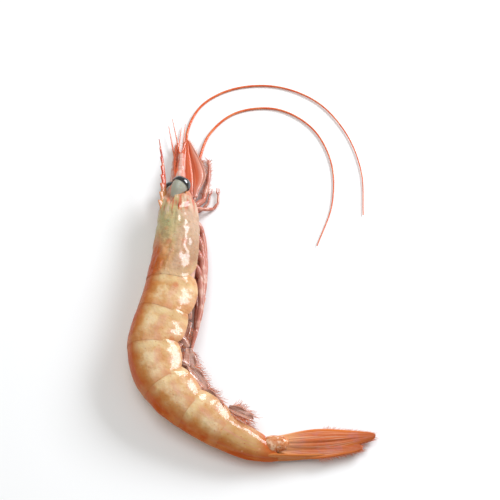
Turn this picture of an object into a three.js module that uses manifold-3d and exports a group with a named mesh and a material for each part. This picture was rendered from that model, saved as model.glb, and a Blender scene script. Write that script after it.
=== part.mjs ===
// A raw deep-water rose shrimp, lying on its left flank with its tail curled and its tail fan closed.
// Millimetres, +Z up. The head points to +Y and the back to -X. The origin is under the middle of the box.
// Shell, limbs, whips and fan are joined into one solid, and what touches the ground is cut flat.
//
// Places on the animal are given as (at, back, right): the distance behind the eye socket along the bent
// spine, then how far towards the back and towards the right flank of the section there.

import * as THREE from 'three';
import { mergeVertices } from 'three/addons/utils/BufferGeometryUtils.js';
import Module from 'manifold-3d';

// ---------------------------------------------------------------- driving dimensions

const carapaceLength = 36; // eye to hind margin
const somiteLengths = [10, 11, 12, 11, 11, 16];
const trunkLength = carapaceLength + somiteLengths.reduce((sum, length) => sum + length, 0);
const fanLength = 28;

// Sections of the trunk: place along the spine, heading of the spine there, depth from back to belly,
// width from flank to flank, and how far the back leans up from the ground.
const sections = [
  { at: -3, heading: -86, depth: 5.6, width: 6.0, lean: 40 },
  { at: 1, heading: -86, depth: 8.6, width: 8.6, lean: 40 },
  { at: 10, heading: -87, depth: 11.8, width: 11.2, lean: 39 },
  { at: 22, heading: -93, depth: 13.8, width: 12.6, lean: 34 },
  { at: 34, heading: -98, depth: 15.0, width: 12.8, lean: 27 },
  { at: 41, heading: -102, depth: 15.4, width: 12.6, lean: 23 },
  { at: 51.5, heading: -105, depth: 15.6, width: 12.6, lean: 18 },
  { at: 63, heading: -73, depth: 14.6, width: 12.2, lean: 14 },
  { at: 74.5, heading: -43, depth: 13.0, width: 11.2, lean: 11 },
  { at: 85.5, heading: -33, depth: 11.4, width: 9.6, lean: 8 },
  { at: 96, heading: -24, depth: 9.6, width: 7.8, lean: 6 },
  { at: 107, heading: -3, depth: 7.8, width: 5.6, lean: 4 },
  { at: 136, heading: 8, depth: 7.6, width: 4.6, lean: 2 },
];

const trunkSides = 24;
const squareness = 2.3; // 2 is an ellipse
const backTaper = 0.1; // the section is this much narrower at the back than at the belly
const marginStep = 0.2; // a tergite's hind edge stands this far over the next one
const marginRun = 0.4;
const keelHeight = 0.7; // ridge along the back of the last three somites
const keelHalfAngle = 0.16;
const bellyRecess = 1.4; // hollow between the two rows of pleura
const pleuronDrop = 1.3; // how far the lobes on the flanks reach down
const endTaper = 0.9; // how far the last somite draws in round the root of the fan
// In front of the carapace the face narrows: a place along the spine and the share of full size there.
const face = [[-4.4, 0.4], [-2.5, 0.64], [1, 0.8], [4.2, 0.93]];
const carapaceFront = 4.6;
const groundCut = 0.25; // depth of shell that the ground flattens
const sliver = 0.03; // triangles thinner than this, left where bodies join, are closed up

const rostrum = {
  length: 14, root: 15, rootDepth: 1.5, height: 1.2, thickness: 1.0, tipHalfHeight: 0.25,
  rise: 4.8, bend: 2.4, // the tip stands up by rise, most of it near the end
  lift: 1.1, // height over the carapace at the eye
  teeth: 7, toothHeight: 0.85, firstTooth: 0.12, lastTooth: 0.9,
  toothFront: 0.13, toothPoint: 0.14, toothFoot: 0.2, // shares of the pitch
};
const eye = {
  radius: 2.6,
  stalkRadii: [1.3, 1.9, 2.4],
  left: { root: [6.2, 1.4, -1.2], middle: [0.2, 0.6, -3.0] },
  right: { root: [7.6, 2.9, 1.4], middle: [2.8, 2.3, 4.9] },
};
const scale = { length: 20.5, width: 9.4, thickness: 0.9, tilt: 52 };
const antennule = { length: 12.5, radius: 1.65, flagellum: 13, flagellumRadius: 0.4 };
const whip = { rootRadius: 0.55, tipRadius: 0.35, sides: 5, steps: 26 };
const legLengths = [21, 26, 33, 25, 27];
const legRoots = [9, 13.5, 18, 23, 28];
const legRadius = 1.05;
const firstLegShare = 0.68; // the first pair is this much thinner
const legTipRadius = 0.36;
const legClearance = 0.8; // height of the lowest joints over the ground
const pincer = { length: 2.6, gap: 1.3, fingerRadius: 0.36 };
// Joints of a leg: share of its length behind the root, millimetres below the belly, and millimetres from
// the middle plane. The first pair reaches out and forward, the others lie back.
const forwardLeg = [[0, -3.8, 2.2], [-0.02, -1.2, 2.8], [-0.05, 1.8, 2.9], [-0.1, 5.6, 3.4], [-0.2, 8.4, 3.0],
  [-0.34, 9.6, 2.6]];
const foldedLeg = [[0, -3.8, 2.2], [0.02, -1.3, 3.0], [0.13, 0.4, 2.9], [0.42, 1.5, 2.6], [0.66, 2.0, 2.4],
  [0.88, 2.1, 2.3]];
const jaw = [[7, -5, 2, 0.8], [4, -8, 2.6, 0.8], [-2.5, -10.4, 2.4, 0.7], [-7.5, -11.8, 2, 0.6],
  [-11.5, -12.2, 1.4, 0.5]];
const pleopod = {
  place: 0.45, // share of the somite in front of the root
  rootDepth: 3.2, // the stem starts this far inside the belly
  rootSide: 0.2, // and this share of the width from the middle plane
  stem: 6.8, stemWidth: 3.2, stemThickness: 2.4, blade: 11, bladeWidth: 4.6, thickness: 1.0,
  sweep: 14, stemBend: 0.3, bladeBend: 0.35, follow: 0.75, // how far it follows the bend of the tail
  shrink: 0.07, // from one pair to the next
  drawIn: 0.18, // share of their splay that the blades lose from one pair to the next
};
const pleopodBlades = [{ share: 1, splay: 1.1, width: 1 }, { share: 0.75, splay: -0.9, width: 0.85 }];
const telson = { length: 20, width: 4.6, thickness: 1.5, rootBack: 2.9, tipBack: 2.0 };
const fanBlades = [
  { rootBack: -0.2, rootSide: 0.8, tipBack: 0.8, tipSide: 0.35, length: fanLength - 1, width: 6.8, thickness: 1.3 },
  { rootBack: -0.9, rootSide: 1.9, tipBack: -2.3, tipSide: 0.8, length: fanLength + 3, width: 7.2, thickness: 1.6 },
];
const fanStump = [[-1.5, -0.4, 0.9, 1.4], [1.4, -0.6, 1.4, 2.2], [3.6, -1.0, 1.7, 1.9], [6.4, -1.6, 1.7, 0.8]];

// ---------------------------------------------------------------- spine

const X = new THREE.Vector3(1, 0, 0);
const Z = new THREE.Vector3(0, 0, 1);
const radians = THREE.MathUtils.degToRad;
const { lerp, smoothstep } = THREE.MathUtils;

/** A value of the sections at a place along the spine, on a smooth curve through the sections. */
function sectionValue(name, at) {
  const last = sections.length - 1;
  let i = sections.findIndex((section) => section.at > at) - 1;
  if (i < 0) i = at < sections[0].at ? 0 : last - 1;
  const [a, b] = [sections[i], sections[i + 1]];
  const before = sections[Math.max(i - 1, 0)];
  const after = sections[Math.min(i + 2, last)];
  const t = THREE.MathUtils.clamp((at - a.at) / (b.at - a.at), 0, 1);
  const span = b.at - a.at;
  const slopeA = ((b[name] - before[name]) / (b.at - before.at)) * span;
  const slopeB = ((after[name] - a[name]) / (after.at - a.at)) * span;
  const blend = t * t * (3 - 2 * t);
  const bendA = t * (1 - t) * (1 - t);
  const bendB = t * t * (t - 1);
  return a[name] * (1 - blend) + b[name] * blend + slopeA * bendA + slopeB * bendB;
}

/** Height of the spine that sets a section's lowest point just into the ground. */
function spineHeight(at) {
  const lean = radians(sectionValue('lean', at));
  const halfWidth = (sectionValue('width', at) / 2) * Math.cos(lean);
  const halfDepth = (sectionValue('depth', at) / 2) * Math.sin(lean);
  return Math.hypot(halfWidth, halfDepth) - groundCut;
}

const spineStep = 0.5;
const spinePoints = [new THREE.Vector3()];
for (let at = 0; at < trunkLength + fanLength + 4; at += spineStep) {
  const heading = radians(sectionValue('heading', at + spineStep / 2));
  const previous = spinePoints[spinePoints.length - 1];
  const step = new THREE.Vector3(Math.cos(heading), Math.sin(heading), 0).multiplyScalar(spineStep);
  spinePoints.push(previous.clone().add(step));
}

/** Origin and directions of the section at a place along the spine: tail, back and right. */
function spineFrame(at) {
  const heading = radians(sectionValue('heading', Math.max(at, 0)));
  const lean = radians(sectionValue('lean', at));
  const tail = new THREE.Vector3(Math.cos(heading), Math.sin(heading), 0);
  const outward = new THREE.Vector3(tail.y, -tail.x, 0);
  const back = outward.clone().multiplyScalar(Math.cos(lean)).addScaledVector(Z, Math.sin(lean));
  const right = Z.clone().multiplyScalar(Math.cos(lean)).addScaledVector(outward, -Math.sin(lean));
  const steps = Math.max(at, 0) / spineStep;
  const whole = Math.min(Math.floor(steps), spinePoints.length - 2);
  const origin = spinePoints[whole].clone().lerp(spinePoints[whole + 1], steps - whole);
  if (at < 0) origin.addScaledVector(tail, at);
  origin.z = spineHeight(at);
  return { origin, tail, back, right };
}

/** A point of the animal, kept at least clearance over the ground. */
function place(at, back, right, clearance = -Infinity) {
  const frame = spineFrame(at);
  const point = frame.origin.addScaledVector(frame.back, back).addScaledVector(frame.right, right);
  point.z = Math.max(point.z, clearance);
  return point;
}

// ---------------------------------------------------------------- closed bodies

/** A closed body through rings of points of equal count, with a fan on each end. */
function loft(rings) {
  const sides = rings[0].length;
  const points = rings.flat();
  const faces = [];
  const index = (ring, side) => ring * sides + (side % sides);
  for (let ring = 0; ring + 1 < rings.length; ring++) {
    for (let side = 0; side < sides; side++) {
      const [a, b] = [index(ring, side), index(ring, side + 1)];
      const [c, d] = [index(ring + 1, side), index(ring + 1, side + 1)];
      faces.push(a, b, d, a, d, c);
    }
  }
  const middle = (ring) => ring.reduce((sum, p) => sum.add(p), new THREE.Vector3()).divideScalar(sides);
  const [first, last] = [points.length, points.length + 1];
  points.push(middle(rings[0]), middle(rings[rings.length - 1]));
  for (let side = 0; side < sides; side++) {
    faces.push(first, index(0, side + 1), index(0, side));
    faces.push(last, index(rings.length - 1, side), index(rings.length - 1, side + 1));
  }
  const geometry = new THREE.BufferGeometry();
  geometry.setAttribute('position', new THREE.Float32BufferAttribute(points.flatMap((p) => p.toArray()), 3));
  geometry.setIndex(faces);
  return geometry;
}

/** An oval ring round a point. */
function ovalRing(point, wide, thick, sides) {
  return Array.from({ length: sides }, (_, i) => {
    const angle = (2 * Math.PI * i) / sides;
    return point.clone().addScaledVector(wide, Math.cos(angle)).addScaledVector(thick, Math.sin(angle));
  });
}

/** A jointed limb: a tapering tube through points, with a radius at each. */
function limb(points, radii, sides = 5) {
  const rings = [];
  let thick = Z.clone();
  points.forEach((point, i) => {
    const before = points[Math.max(i - 1, 0)];
    const after = points[Math.min(i + 1, points.length - 1)];
    const along = after.clone().sub(before).normalize();
    const wide = along.clone().cross(thick);
    if (wide.length() < 0.2) wide.crossVectors(along, X);
    wide.normalize();
    thick = wide.clone().cross(along).normalize();
    rings.push(ovalRing(point, wide.clone().multiplyScalar(radii[i]), thick.clone().multiplyScalar(radii[i]), sides));
  });
  return loft(rings);
}

/** A thin leaf from root to tip, its width along side; profile(t) is its share of full width at t. */
function leaf(root, tip, side, width, thickness, profile, steps = 6, sides = 6) {
  const along = tip.clone().sub(root).normalize();
  const wide = side.clone().addScaledVector(along, -side.dot(along)).normalize();
  const thick = along.clone().cross(wide);
  const rings = [];
  for (let i = 0; i <= steps; i++) {
    const t = i / steps;
    const share = profile(t);
    const halfWide = wide.clone().multiplyScalar((width / 2) * share);
    const halfThick = thick.clone().multiplyScalar((thickness / 2) * (0.45 + 0.55 * share));
    rings.push(ovalRing(root.clone().lerp(tip, t), halfWide, halfThick, sides));
  }
  return loft(rings);
}

const blunt = (t, power) => Math.max(1 - t ** power, 0.03) ** 0.5;
const paddle = (t) => lerp(0.5, 1, smoothstep(t, -0.05, 0.42)) * (1 - 0.22 * t) * blunt(t, 7);
const fanBlade = (t) => lerp(0.45, 1, smoothstep(t, -0.05, 0.45)) * (1 - 0.45 * smoothstep(t, 0.45, 1)) * blunt(t, 6);
const teardrop = (t) => lerp(0.3, 1, smoothstep(t, 0, 0.36)) * (1 - 0.62 * smoothstep(t, 0.36, 1)) * blunt(t, 6);
const dart = (t) => 1 - 0.86 * t ** 1.4;
const wand = (t) => 0.6 + 0.4 * Math.sin(Math.PI * t) - 0.35 * t;

// ---------------------------------------------------------------- trunk

/** Which somite a place lies in: its number from 0, and how far through it, or -1 on the carapace. */
function somiteAt(at) {
  let start = carapaceLength;
  for (let number = 0; number < somiteLengths.length; number++) {
    const through = (at - start) / somiteLengths[number];
    if (through >= 0 && through <= 1) return { number, through };
    start += somiteLengths[number];
  }
  return { number: -1, through: 0 };
}

/** How near an angle is to another, 1 at it and falling away over spread. */
function bump(angle, centre, spread) {
  const off = Math.atan2(Math.sin(angle - centre), Math.cos(angle - centre));
  return Math.exp(-((off / spread) ** 2));
}

/** The trunk's outline at a place, stepped out by extra. Angle 0 is the back, 90 degrees the right flank. */
function trunkRing(at, extra, shrink = 1) {
  const halfDepth = (sectionValue('depth', at) / 2 + extra) * shrink;
  const halfWidth = (sectionValue('width', at) / 2 + extra) * shrink;
  const { number, through } = somiteAt(at);
  const keel = number >= 3 ? keelHeight * shrink : 0;
  const lobe = number >= 0 ? pleuronDrop * Math.sin(Math.PI * through) * shrink : 0.4 * pleuronDrop * shrink;
  const ring = [];
  for (let i = 0; i < trunkSides; i++) {
    const angle = (2 * Math.PI * i) / trunkSides;
    const [c, s] = [Math.cos(angle), Math.sin(angle)];
    let back = halfDepth * Math.sign(c) * Math.abs(c) ** (2 / squareness);
    const right = halfWidth * Math.sign(s) * Math.abs(s) ** (2 / squareness) * (1 - backTaper * c);
    back += keel * bump(angle, 0, keelHalfAngle);
    back += bellyRecess * shrink * bump(angle, Math.PI, 0.4);
    back -= lobe * (bump(angle, 2.55, 0.3) + bump(angle, -2.55, 0.3));
    ring.push(place(at, back, right));
  }
  return ring;
}

/** Carapace and abdomen in one loft, stepping in behind each hind margin. */
function trunk() {
  const rings = face.map(([at, share]) => trunkRing(at, 0, share));
  const carapaceRings = 8;
  for (let i = 0; i <= carapaceRings; i++) {
    const at = lerp(carapaceFront, carapaceLength - marginRun, i / carapaceRings);
    rings.push(trunkRing(at, marginStep * (i / carapaceRings) ** 3));
  }
  let start = carapaceLength;
  somiteLengths.forEach((length, number) => {
    const isLast = number === somiteLengths.length - 1;
    for (const share of [0, 0.3, 0.65, 1]) {
      const at = start + share * (length - marginRun);
      rings.push(trunkRing(at, isLast ? -endTaper * share ** 5 : marginStep * share ** 3));
    }
    start += length;
  });
  rings.push(trunkRing(trunkLength + 1, -endTaper, 0.55));
  return loft(rings);
}

/** The toothed blade that runs forward from the crest of the carapace and bends up to its tip. */
function rostrumBlade() {
  const { length, root, rootDepth, height, rise, bend, lift, thickness, tipHalfHeight } = rostrum;
  const { teeth, toothHeight, firstTooth, lastTooth, toothFront, toothPoint, toothFoot } = rostrum;
  const span = length + root;
  const axis = (t) => rise * t ** bend;
  const valley = (t) => axis(t) + tipHalfHeight + height * (1 - t) ** 0.8 * Math.min(1, 6 * t);
  const bottom = (t) => axis(t) - lerp(rootDepth, tipHalfHeight, smoothstep(t, 0.1, 1) ** 0.8);
  const shape = new THREE.Shape();
  shape.moveTo(0, -rootDepth);
  for (const t of [0.2, 0.4, 0.55, 0.7, 0.8, 0.9, 0.96]) shape.lineTo(span * t, bottom(t));
  shape.lineTo(span, axis(1));
  const pitch = (lastTooth - firstTooth) / teeth;
  for (let tooth = teeth; tooth > 0; tooth--) {
    const point = firstTooth + pitch * (tooth - toothPoint);
    const foot = firstTooth + pitch * (tooth - 1 + toothFoot);
    shape.lineTo(span * (point + pitch * toothFront), valley(point));
    shape.lineTo(span * point, valley(point) + toothHeight * (1.25 - point));
    shape.lineTo(span * foot, valley(foot));
  }
  shape.lineTo(0, 0);
  shape.closePath();
  const geometry = new THREE.ExtrudeGeometry(shape, { depth: thickness, bevelEnabled: false });
  geometry.translate(0, 0, -thickness / 2);
  const frame = spineFrame(0);
  const matrix = new THREE.Matrix4().makeBasis(frame.tail.clone().negate(), frame.back, frame.right);
  const start = place(root, sectionValue('depth', root) / 2, 0);
  const front = place(0, sectionValue('depth', 0) / 2 + lift, 0);
  const slope = Math.atan2(front.clone().sub(start).dot(frame.back), root);
  matrix.multiply(new THREE.Matrix4().makeRotationZ(slope));
  matrix.setPosition(start);
  return geometry.applyMatrix4(matrix);
}

// ---------------------------------------------------------------- head

/** An eye and the stalk that carries it out of its socket. */
function eyeBodies(side) {
  const { root, middle } = side > 0 ? eye.right : eye.left;
  const centre = place(...middle, eye.radius);
  const ball = new THREE.SphereGeometry(eye.radius, 12, 8).translate(centre.x, centre.y, centre.z);
  const start = place(...root);
  return [ball, limb([start, start.clone().lerp(centre, 0.5), centre], eye.stalkRadii, 8)];
}

/** The broad plate beside the mouth, tilted so that its outer face looks up from the flank. */
function scaleBody(side) {
  const tilt = radians(scale.tilt);
  const frame = spineFrame(0);
  const acrossBlade = frame.back.clone().multiplyScalar(Math.sin(tilt));
  acrossBlade.addScaledVector(frame.right, -side * Math.cos(tilt));
  const root = place(4.5, -3.8, side * 2.6, scale.thickness);
  const tip = place(2.5 - scale.length, -2.8, side * 2.8, scale.thickness);
  return leaf(root, tip, acrossBlade, scale.width, scale.thickness, teardrop, 8, 8);
}

/** The three-jointed stalk between the eyes, with its two short flagella. */
function antennuleBodies(side) {
  const { length, radius, flagellum, flagellumRadius: thin } = antennule;
  const joints = [[0.08, 0, 1.2], [-0.45, -0.5, 1.35], [-0.75, -1.0, 1.5], [-1, -1.3, 1.5]];
  const points = joints.map(([reach, back, over]) => place(reach * length, back, side * over));
  const bodies = [limb(points, [1.05, 1, 0.85, 0.65].map((k) => k * radius), 7)];
  for (const spread of [-1, 1]) {
    const thread = [0, 0.35, 0.7, 1].map((t) => {
      const sway = spread * (0.4 + 2.2 * t) + side * 0.8 * t;
      return place(0.8 - length - t * flagellum, sway - 1.2, side * (1.4 + 0.6 * t), thin);
    });
    bodies.push(limb(thread, [1.3, 1.1, 1, 0.8].map((k) => k * thin)));
  }
  return bodies;
}

/** The long whips, given by hand as points in plan that count from the eye socket. */
const whipRoutes = {
  right: [[6, 10], [9.5, 22], [18, 30.5], [31, 32], [42, 25], [48, 12], [48, -4], [43, -19]],
  left: [[3, 12], [2.5, 23], [7, 33.5], [17, 40], [31, 41], [44, 35], [53, 23], [57.5, 8], [57.5, -8]],
};

function whipBodies(side) {
  const route = side > 0 ? whipRoutes.right : whipRoutes.left;
  const { rootRadius, tipRadius, sides, steps } = whip;
  const stem = [[3, -4.2, 1.2], [-1.5, -5, 1.1], [-5.5, -5.2, 0.8]].map(([at, back, over]) =>
    place(at, back, side * 1.7, over));
  const drop = stem[2].z;
  const rest = route.map(([x, y], i) => {
    const fall = Math.max(0, 1 - (i + 1) / 3);
    return new THREE.Vector3(x, y, tipRadius + fall * fall * drop);
  });
  const curve = new THREE.CatmullRomCurve3([stem[2], ...rest], false, 'centripetal');
  const points = curve.getSpacedPoints(steps);
  const radii = points.map((_, i) => lerp(rootRadius, tipRadius, i / steps));
  return [limb(stem, [1.5, 1.3, 0.9], 6), limb([stem[1], ...points], [rootRadius, ...radii], sides)];
}

/** Third maxilliped: a leg-like mouthpart held forward under the head. */
function maxillipedBody(side) {
  return limb(jaw.map(([at, back, out, over]) => place(at, back, side * out, over)), [1.0, 0.9, 0.75, 0.55, 0.35]);
}

// ---------------------------------------------------------------- legs, swimmerets and fan

/** A walking leg: its joints fan out a little from pair to pair, and the first three pairs end in pincers. */
function legBodies(number, side) {
  const joints = (number ? foldedLeg : forwardLeg).map(([share, below, out]) => {
    const at = legRoots[number] + share * legLengths[number];
    const fan = 0.28 * number * Math.max(share, 0) + (side > 0 ? 0 : 1);
    return place(at, -sectionValue('depth', at) / 2 - below - fan, side * out - 0.2 * number, legClearance);
  });
  const thickness = legRadius * (number ? 1 : firstLegShare);
  const taper = [1.1, 0.95, 0.85, 0.72, 0.56, 0.48].map((k) => k * thickness);
  const wrist = joints[joints.length - 1];
  const way = wrist.clone().sub(joints[joints.length - 2]).normalize();
  if (number >= 3) {
    const tip = wrist.clone().addScaledVector(way, pincer.length * 1.4);
    return [limb([...joints, tip], [...taper, legTipRadius])];
  }
  const across = way.clone().cross(Z).normalize();
  const fingers = [-0.5, 0.5].map((finger) => {
    const tip = wrist.clone().addScaledVector(way, pincer.length).addScaledVector(across, finger * pincer.gap);
    return limb([wrist, wrist.clone().lerp(tip, 0.5).addScaledVector(across, finger * 0.5), tip],
      [pincer.fingerRadius, pincer.fingerRadius * 1.1, pincer.fingerRadius * 0.9]);
  });
  return [limb(joints, taper), ...fingers];
}

/** A swimmeret: a stout stem and two soft blades, swept back under a somite. */
function pleopodBodies(number, side) {
  const { stem, stemWidth, stemThickness, blade, bladeWidth, thickness } = pleopod;
  const start = somiteLengths.slice(0, number).reduce((sum, length) => sum + length, carapaceLength);
  const at = start + somiteLengths[number] * pleopod.place;
  const size = 1 - pleopod.shrink * number;
  const frame = spineFrame(at);
  const bend = radians(sectionValue('heading', at + blade) - sectionValue('heading', at));
  const sweep = radians(pleopod.sweep) + pleopod.follow * bend;
  const inside = pleopod.rootDepth - sectionValue('depth', at) / 2;
  const root = place(at, inside, side * pleopod.rootSide * sectionValue('width', at));
  const reach = (from, angle, length, splay) => {
    const tip = from.clone().addScaledVector(frame.tail, Math.cos(angle) * length * size);
    tip.addScaledVector(frame.back, -Math.sin(angle) * length * size).addScaledVector(frame.right, splay);
    tip.z = Math.max(tip.z, thickness);
    return tip;
  };
  const knee = reach(root, sweep + pleopod.stemBend, stem, side * 0.3);
  const bodies = [leaf(root, knee, frame.tail, stemWidth * size, stemThickness * size, wand, 2)];
  for (const { share, splay, width } of pleopodBlades) {
    const spread = splay * (1 - pleopod.drawIn * number);
    const tip = reach(knee, sweep - pleopod.bladeBend, blade * share, side * spread);
    bodies.push(leaf(knee, tip, frame.back, bladeWidth * width * size, thickness, paddle, 4));
  }
  return bodies;
}

/** Telson, stumps and the two blades on each side, lying on each other like a shut umbrella. */
function fanBodies() {
  const start = trunkLength - 3;
  const { length, width, thickness, rootBack, tipBack } = telson;
  const flat = spineFrame(start).right;
  const bodies = [leaf(place(start, rootBack, 0), place(start + length, tipBack, 0), flat, width, thickness, dart)];
  for (const side of [-1, 1]) {
    const stump = fanStump.map(([at, back, out]) => place(start + at, back, side * out));
    bodies.push(limb(stump, fanStump.map(([, , , radius]) => radius), 8));
    for (const blade of fanBlades) {
      const root = place(start + 1, blade.rootBack, side * blade.rootSide);
      const tip = place(start + blade.length, blade.tipBack, side * blade.tipSide, 0.7);
      bodies.push(leaf(root, tip, spineFrame(start + 10).back, blade.width, blade.thickness, fanBlade, 7, 8));
    }
  }
  return bodies;
}

// ---------------------------------------------------------------- one solid

const wasm = await Module();
wasm.setup();

/** A closed geometry as a solid that can be joined and cut. */
function solid(geometry) {
  geometry.deleteAttribute('normal');
  geometry.deleteAttribute('uv');
  const merged = mergeVertices(geometry, 1e-4);
  const vertProperties = new Float32Array(merged.attributes.position.array);
  const triVerts = new Uint32Array(merged.index.array);
  const body = new wasm.Manifold(new wasm.Mesh({ numProp: 3, vertProperties, triVerts }));
  if (body.volume() > 0) return body;
  return new wasm.Manifold(new wasm.Mesh({ numProp: 3, vertProperties, triVerts: triVerts.reverse() }));
}

const sides = [-1, 1];
const bodies = [
  trunk(),
  rostrumBlade(),
  ...sides.flatMap((side) => [
    ...eyeBodies(side), scaleBody(side), ...antennuleBodies(side), ...whipBodies(side), maxillipedBody(side),
    ...legRoots.flatMap((_, number) => legBodies(number, side)),
    ...[0, 1, 2, 3, 4].flatMap((number) => pleopodBodies(number, side)),
  ]),
  ...fanBodies(),
];

let animal = solid(bodies[0]);
for (const body of bodies.slice(1)) animal = animal.add(solid(body));

const groundSize = 400;
const aboveGround = new THREE.BoxGeometry(groundSize, groundSize, groundSize).translate(0, 0, groundSize / 2);
animal = animal.intersect(solid(aboveGround));

// Pockets shut in between overlapping blades are filled by keeping the outer skin alone.
const skins = animal.asOriginal().simplify(sliver).decompose().sort((a, b) => b.volume() - a.volume());
const skin = skins[0].getMesh();
const geometry = new THREE.BufferGeometry();
geometry.setAttribute('position', new THREE.BufferAttribute(new Float32Array(skin.vertProperties), 3));
geometry.setIndex(new THREE.BufferAttribute(new Uint32Array(skin.triVerts), 1));
geometry.computeBoundingBox();

const shrimp = new THREE.Mesh(
  geometry,
  new THREE.MeshStandardMaterial({ color: '#d9a876', roughness: 0.35, metalness: 0 }),
);
shrimp.name = 'shrimp';
const centre = geometry.boundingBox.getCenter(new THREE.Vector3());
shrimp.position.set(-centre.x, -centre.y, -geometry.boundingBox.min.z);

const group = new THREE.Group();
group.add(shrimp);
export default group;
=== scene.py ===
"""The looks of a whole raw deep-water rose shrimp that lies on its left flank with its tail curled.

Every shell, limb, blade and whip is modelled round one bent spine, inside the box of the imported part, and
stands for its single solid. Sizes in the classes are millimetres, and only placed points are metres.

Places on the animal are (at, back, right): the distance behind the eye along the spine, then how far the
point lies towards the back and towards the right flank of the section there.
"""

from __future__ import annotations

import logging
import math
import random
from collections.abc import Callable, Iterator, Sequence
from contextlib import contextmanager
from dataclasses import dataclass, field
from enum import Enum, IntEnum
from functools import partial

import bpy
from mathutils import Matrix, Vector, noise


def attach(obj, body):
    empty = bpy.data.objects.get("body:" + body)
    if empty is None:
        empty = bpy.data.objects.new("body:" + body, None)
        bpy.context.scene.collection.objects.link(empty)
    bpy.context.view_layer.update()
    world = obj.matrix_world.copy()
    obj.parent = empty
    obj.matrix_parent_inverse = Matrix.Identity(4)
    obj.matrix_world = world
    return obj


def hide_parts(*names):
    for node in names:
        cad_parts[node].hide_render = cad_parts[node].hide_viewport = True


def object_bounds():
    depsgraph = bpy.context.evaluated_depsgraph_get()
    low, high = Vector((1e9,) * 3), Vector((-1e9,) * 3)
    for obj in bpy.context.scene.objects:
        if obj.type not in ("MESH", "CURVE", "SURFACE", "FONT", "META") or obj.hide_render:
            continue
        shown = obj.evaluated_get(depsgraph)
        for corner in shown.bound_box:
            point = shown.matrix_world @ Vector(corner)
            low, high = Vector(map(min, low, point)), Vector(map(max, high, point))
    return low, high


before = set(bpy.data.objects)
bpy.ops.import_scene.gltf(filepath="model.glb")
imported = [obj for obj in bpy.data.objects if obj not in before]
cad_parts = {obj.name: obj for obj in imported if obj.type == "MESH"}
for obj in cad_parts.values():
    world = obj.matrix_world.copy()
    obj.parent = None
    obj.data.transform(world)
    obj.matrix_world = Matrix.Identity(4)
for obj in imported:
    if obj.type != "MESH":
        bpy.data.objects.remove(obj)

LOG = logging.getLogger("shrimp")
MM = 0.001
TURN = 2 * math.pi
SEED = 11
NODE = "shrimp"
UP = Vector((0, 0, 1))
CAD_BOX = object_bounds()
EYE_FROM_BACK = 13.062  # from the box's -X side to the eye, in millimetres
EYE_FROM_FRONT = 41.774  # from the box's +Y side
GROUND = 0.05  # the lowest that any piece reaches, so that nothing sinks into the floor
SMOOTH_ANGLE = math.radians(50)  # sharper edges than this stay sharp

Piece = bpy.types.Object
Feed = bpy.types.Node | bpy.types.NodeSocket  # what can feed a socket
Colour = Feed | tuple[float, float, float, float]
Roots = list[tuple[Vector, Vector]]  # where hairs stand, and which way each one points


# ---------------------------------------------------------------------------- colours and nodes


def linear(hex_colour: str) -> tuple[float, float, float, float]:
    """Turns an sRGB hex colour into linear light, with an alpha of 1.

    Args:
        hex_colour: The colour as # and six digits.

    Returns:
        Red, green, blue and alpha.
    """
    parts = [int(hex_colour[i : i + 2], 16) / 255 for i in (1, 3, 5)]
    light = [p / 12.92 if p <= 0.04045 else ((p + 0.055) / 1.055) ** 2.4 for p in parts]
    return (*light, 1.0)


def add_node(tree: bpy.types.NodeTree, kind: str, inputs: dict[str | int, object] | None = None,
             **settings: object) -> bpy.types.Node:
    """Adds a node with its settings, values and links.

    Args:
        tree: The material's node tree.
        kind: Blender's name for the node type.
        inputs: Socket names or numbers, each with a value, the socket that feeds it, or a node whose
            first output feeds it.
        **settings: The node's own properties.

    Returns:
        The new node.
    """
    node = tree.nodes.new(kind)
    for name, value in settings.items():
        setattr(node, name, value)
    for name, value in (inputs or {}).items():
        feed = value.outputs[0] if isinstance(value, bpy.types.Node) else value
        if isinstance(feed, bpy.types.NodeSocket):
            tree.links.new(feed, node.inputs[name])
        else:
            node.inputs[name].default_value = feed
    return node


def emptied(owner: bpy.types.Material | bpy.types.World) -> bpy.types.NodeTree:
    """Turns on the nodes of a material or world, and gives its emptied tree.

    Args:
        owner: The material or world.

    Returns:
        Its node tree, with nothing in it.
    """
    owner.use_nodes = True
    owner.node_tree.nodes.clear()
    return owner.node_tree


class Guide(Enum):
    """What a wash of colour follows over a piece."""

    ALONG = "along"  # 0 at the root or front edge, 1 at the tip or hind edge
    GIRTH = "girth"  # shells: 0 on the back, 1 at the rim. Blades: -1 to 1 across. Limbs: 1 on top
    CLOUDS = "clouds"  # soft blotches
    STREAKS = "streaks"  # fine lines that run lengthwise


ALONG, GIRTH, CLOUDS, STREAKS = Guide


class Spread(Enum):
    """How a wash fades: in from low to high, or out on both sides of low."""

    STEP = "step"
    BAND = "band"


@dataclass(frozen=True)
class Wash:
    """A tint laid over the base colour where its guide says.

    With Spread.STEP it fades in from low to high. With Spread.BAND it is full at low and gone at a
    distance of high. A repeat of n runs the guide through its range n times. Within keeps the wash to
    where a second guide has gone from its first number to its second.
    """

    tint: str
    guide: Guide
    low: float
    high: float
    strength: float = 1.0
    spread: Spread = Spread.STEP
    ragged: float = 0.0
    repeat: float = 0.0
    within: tuple[Guide, float, float] | None = None


@dataclass(frozen=True)
class Spots:
    """Dots of pigment: one in each cell of a grid of this spacing, for a share of the cells."""

    tint: str
    spacing_mm: float = 0.9
    share: float = 0.3
    size: float = 0.3
    strength: float = 0.6
    core: float = 0.4  # share of a dot's size that is full colour


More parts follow.
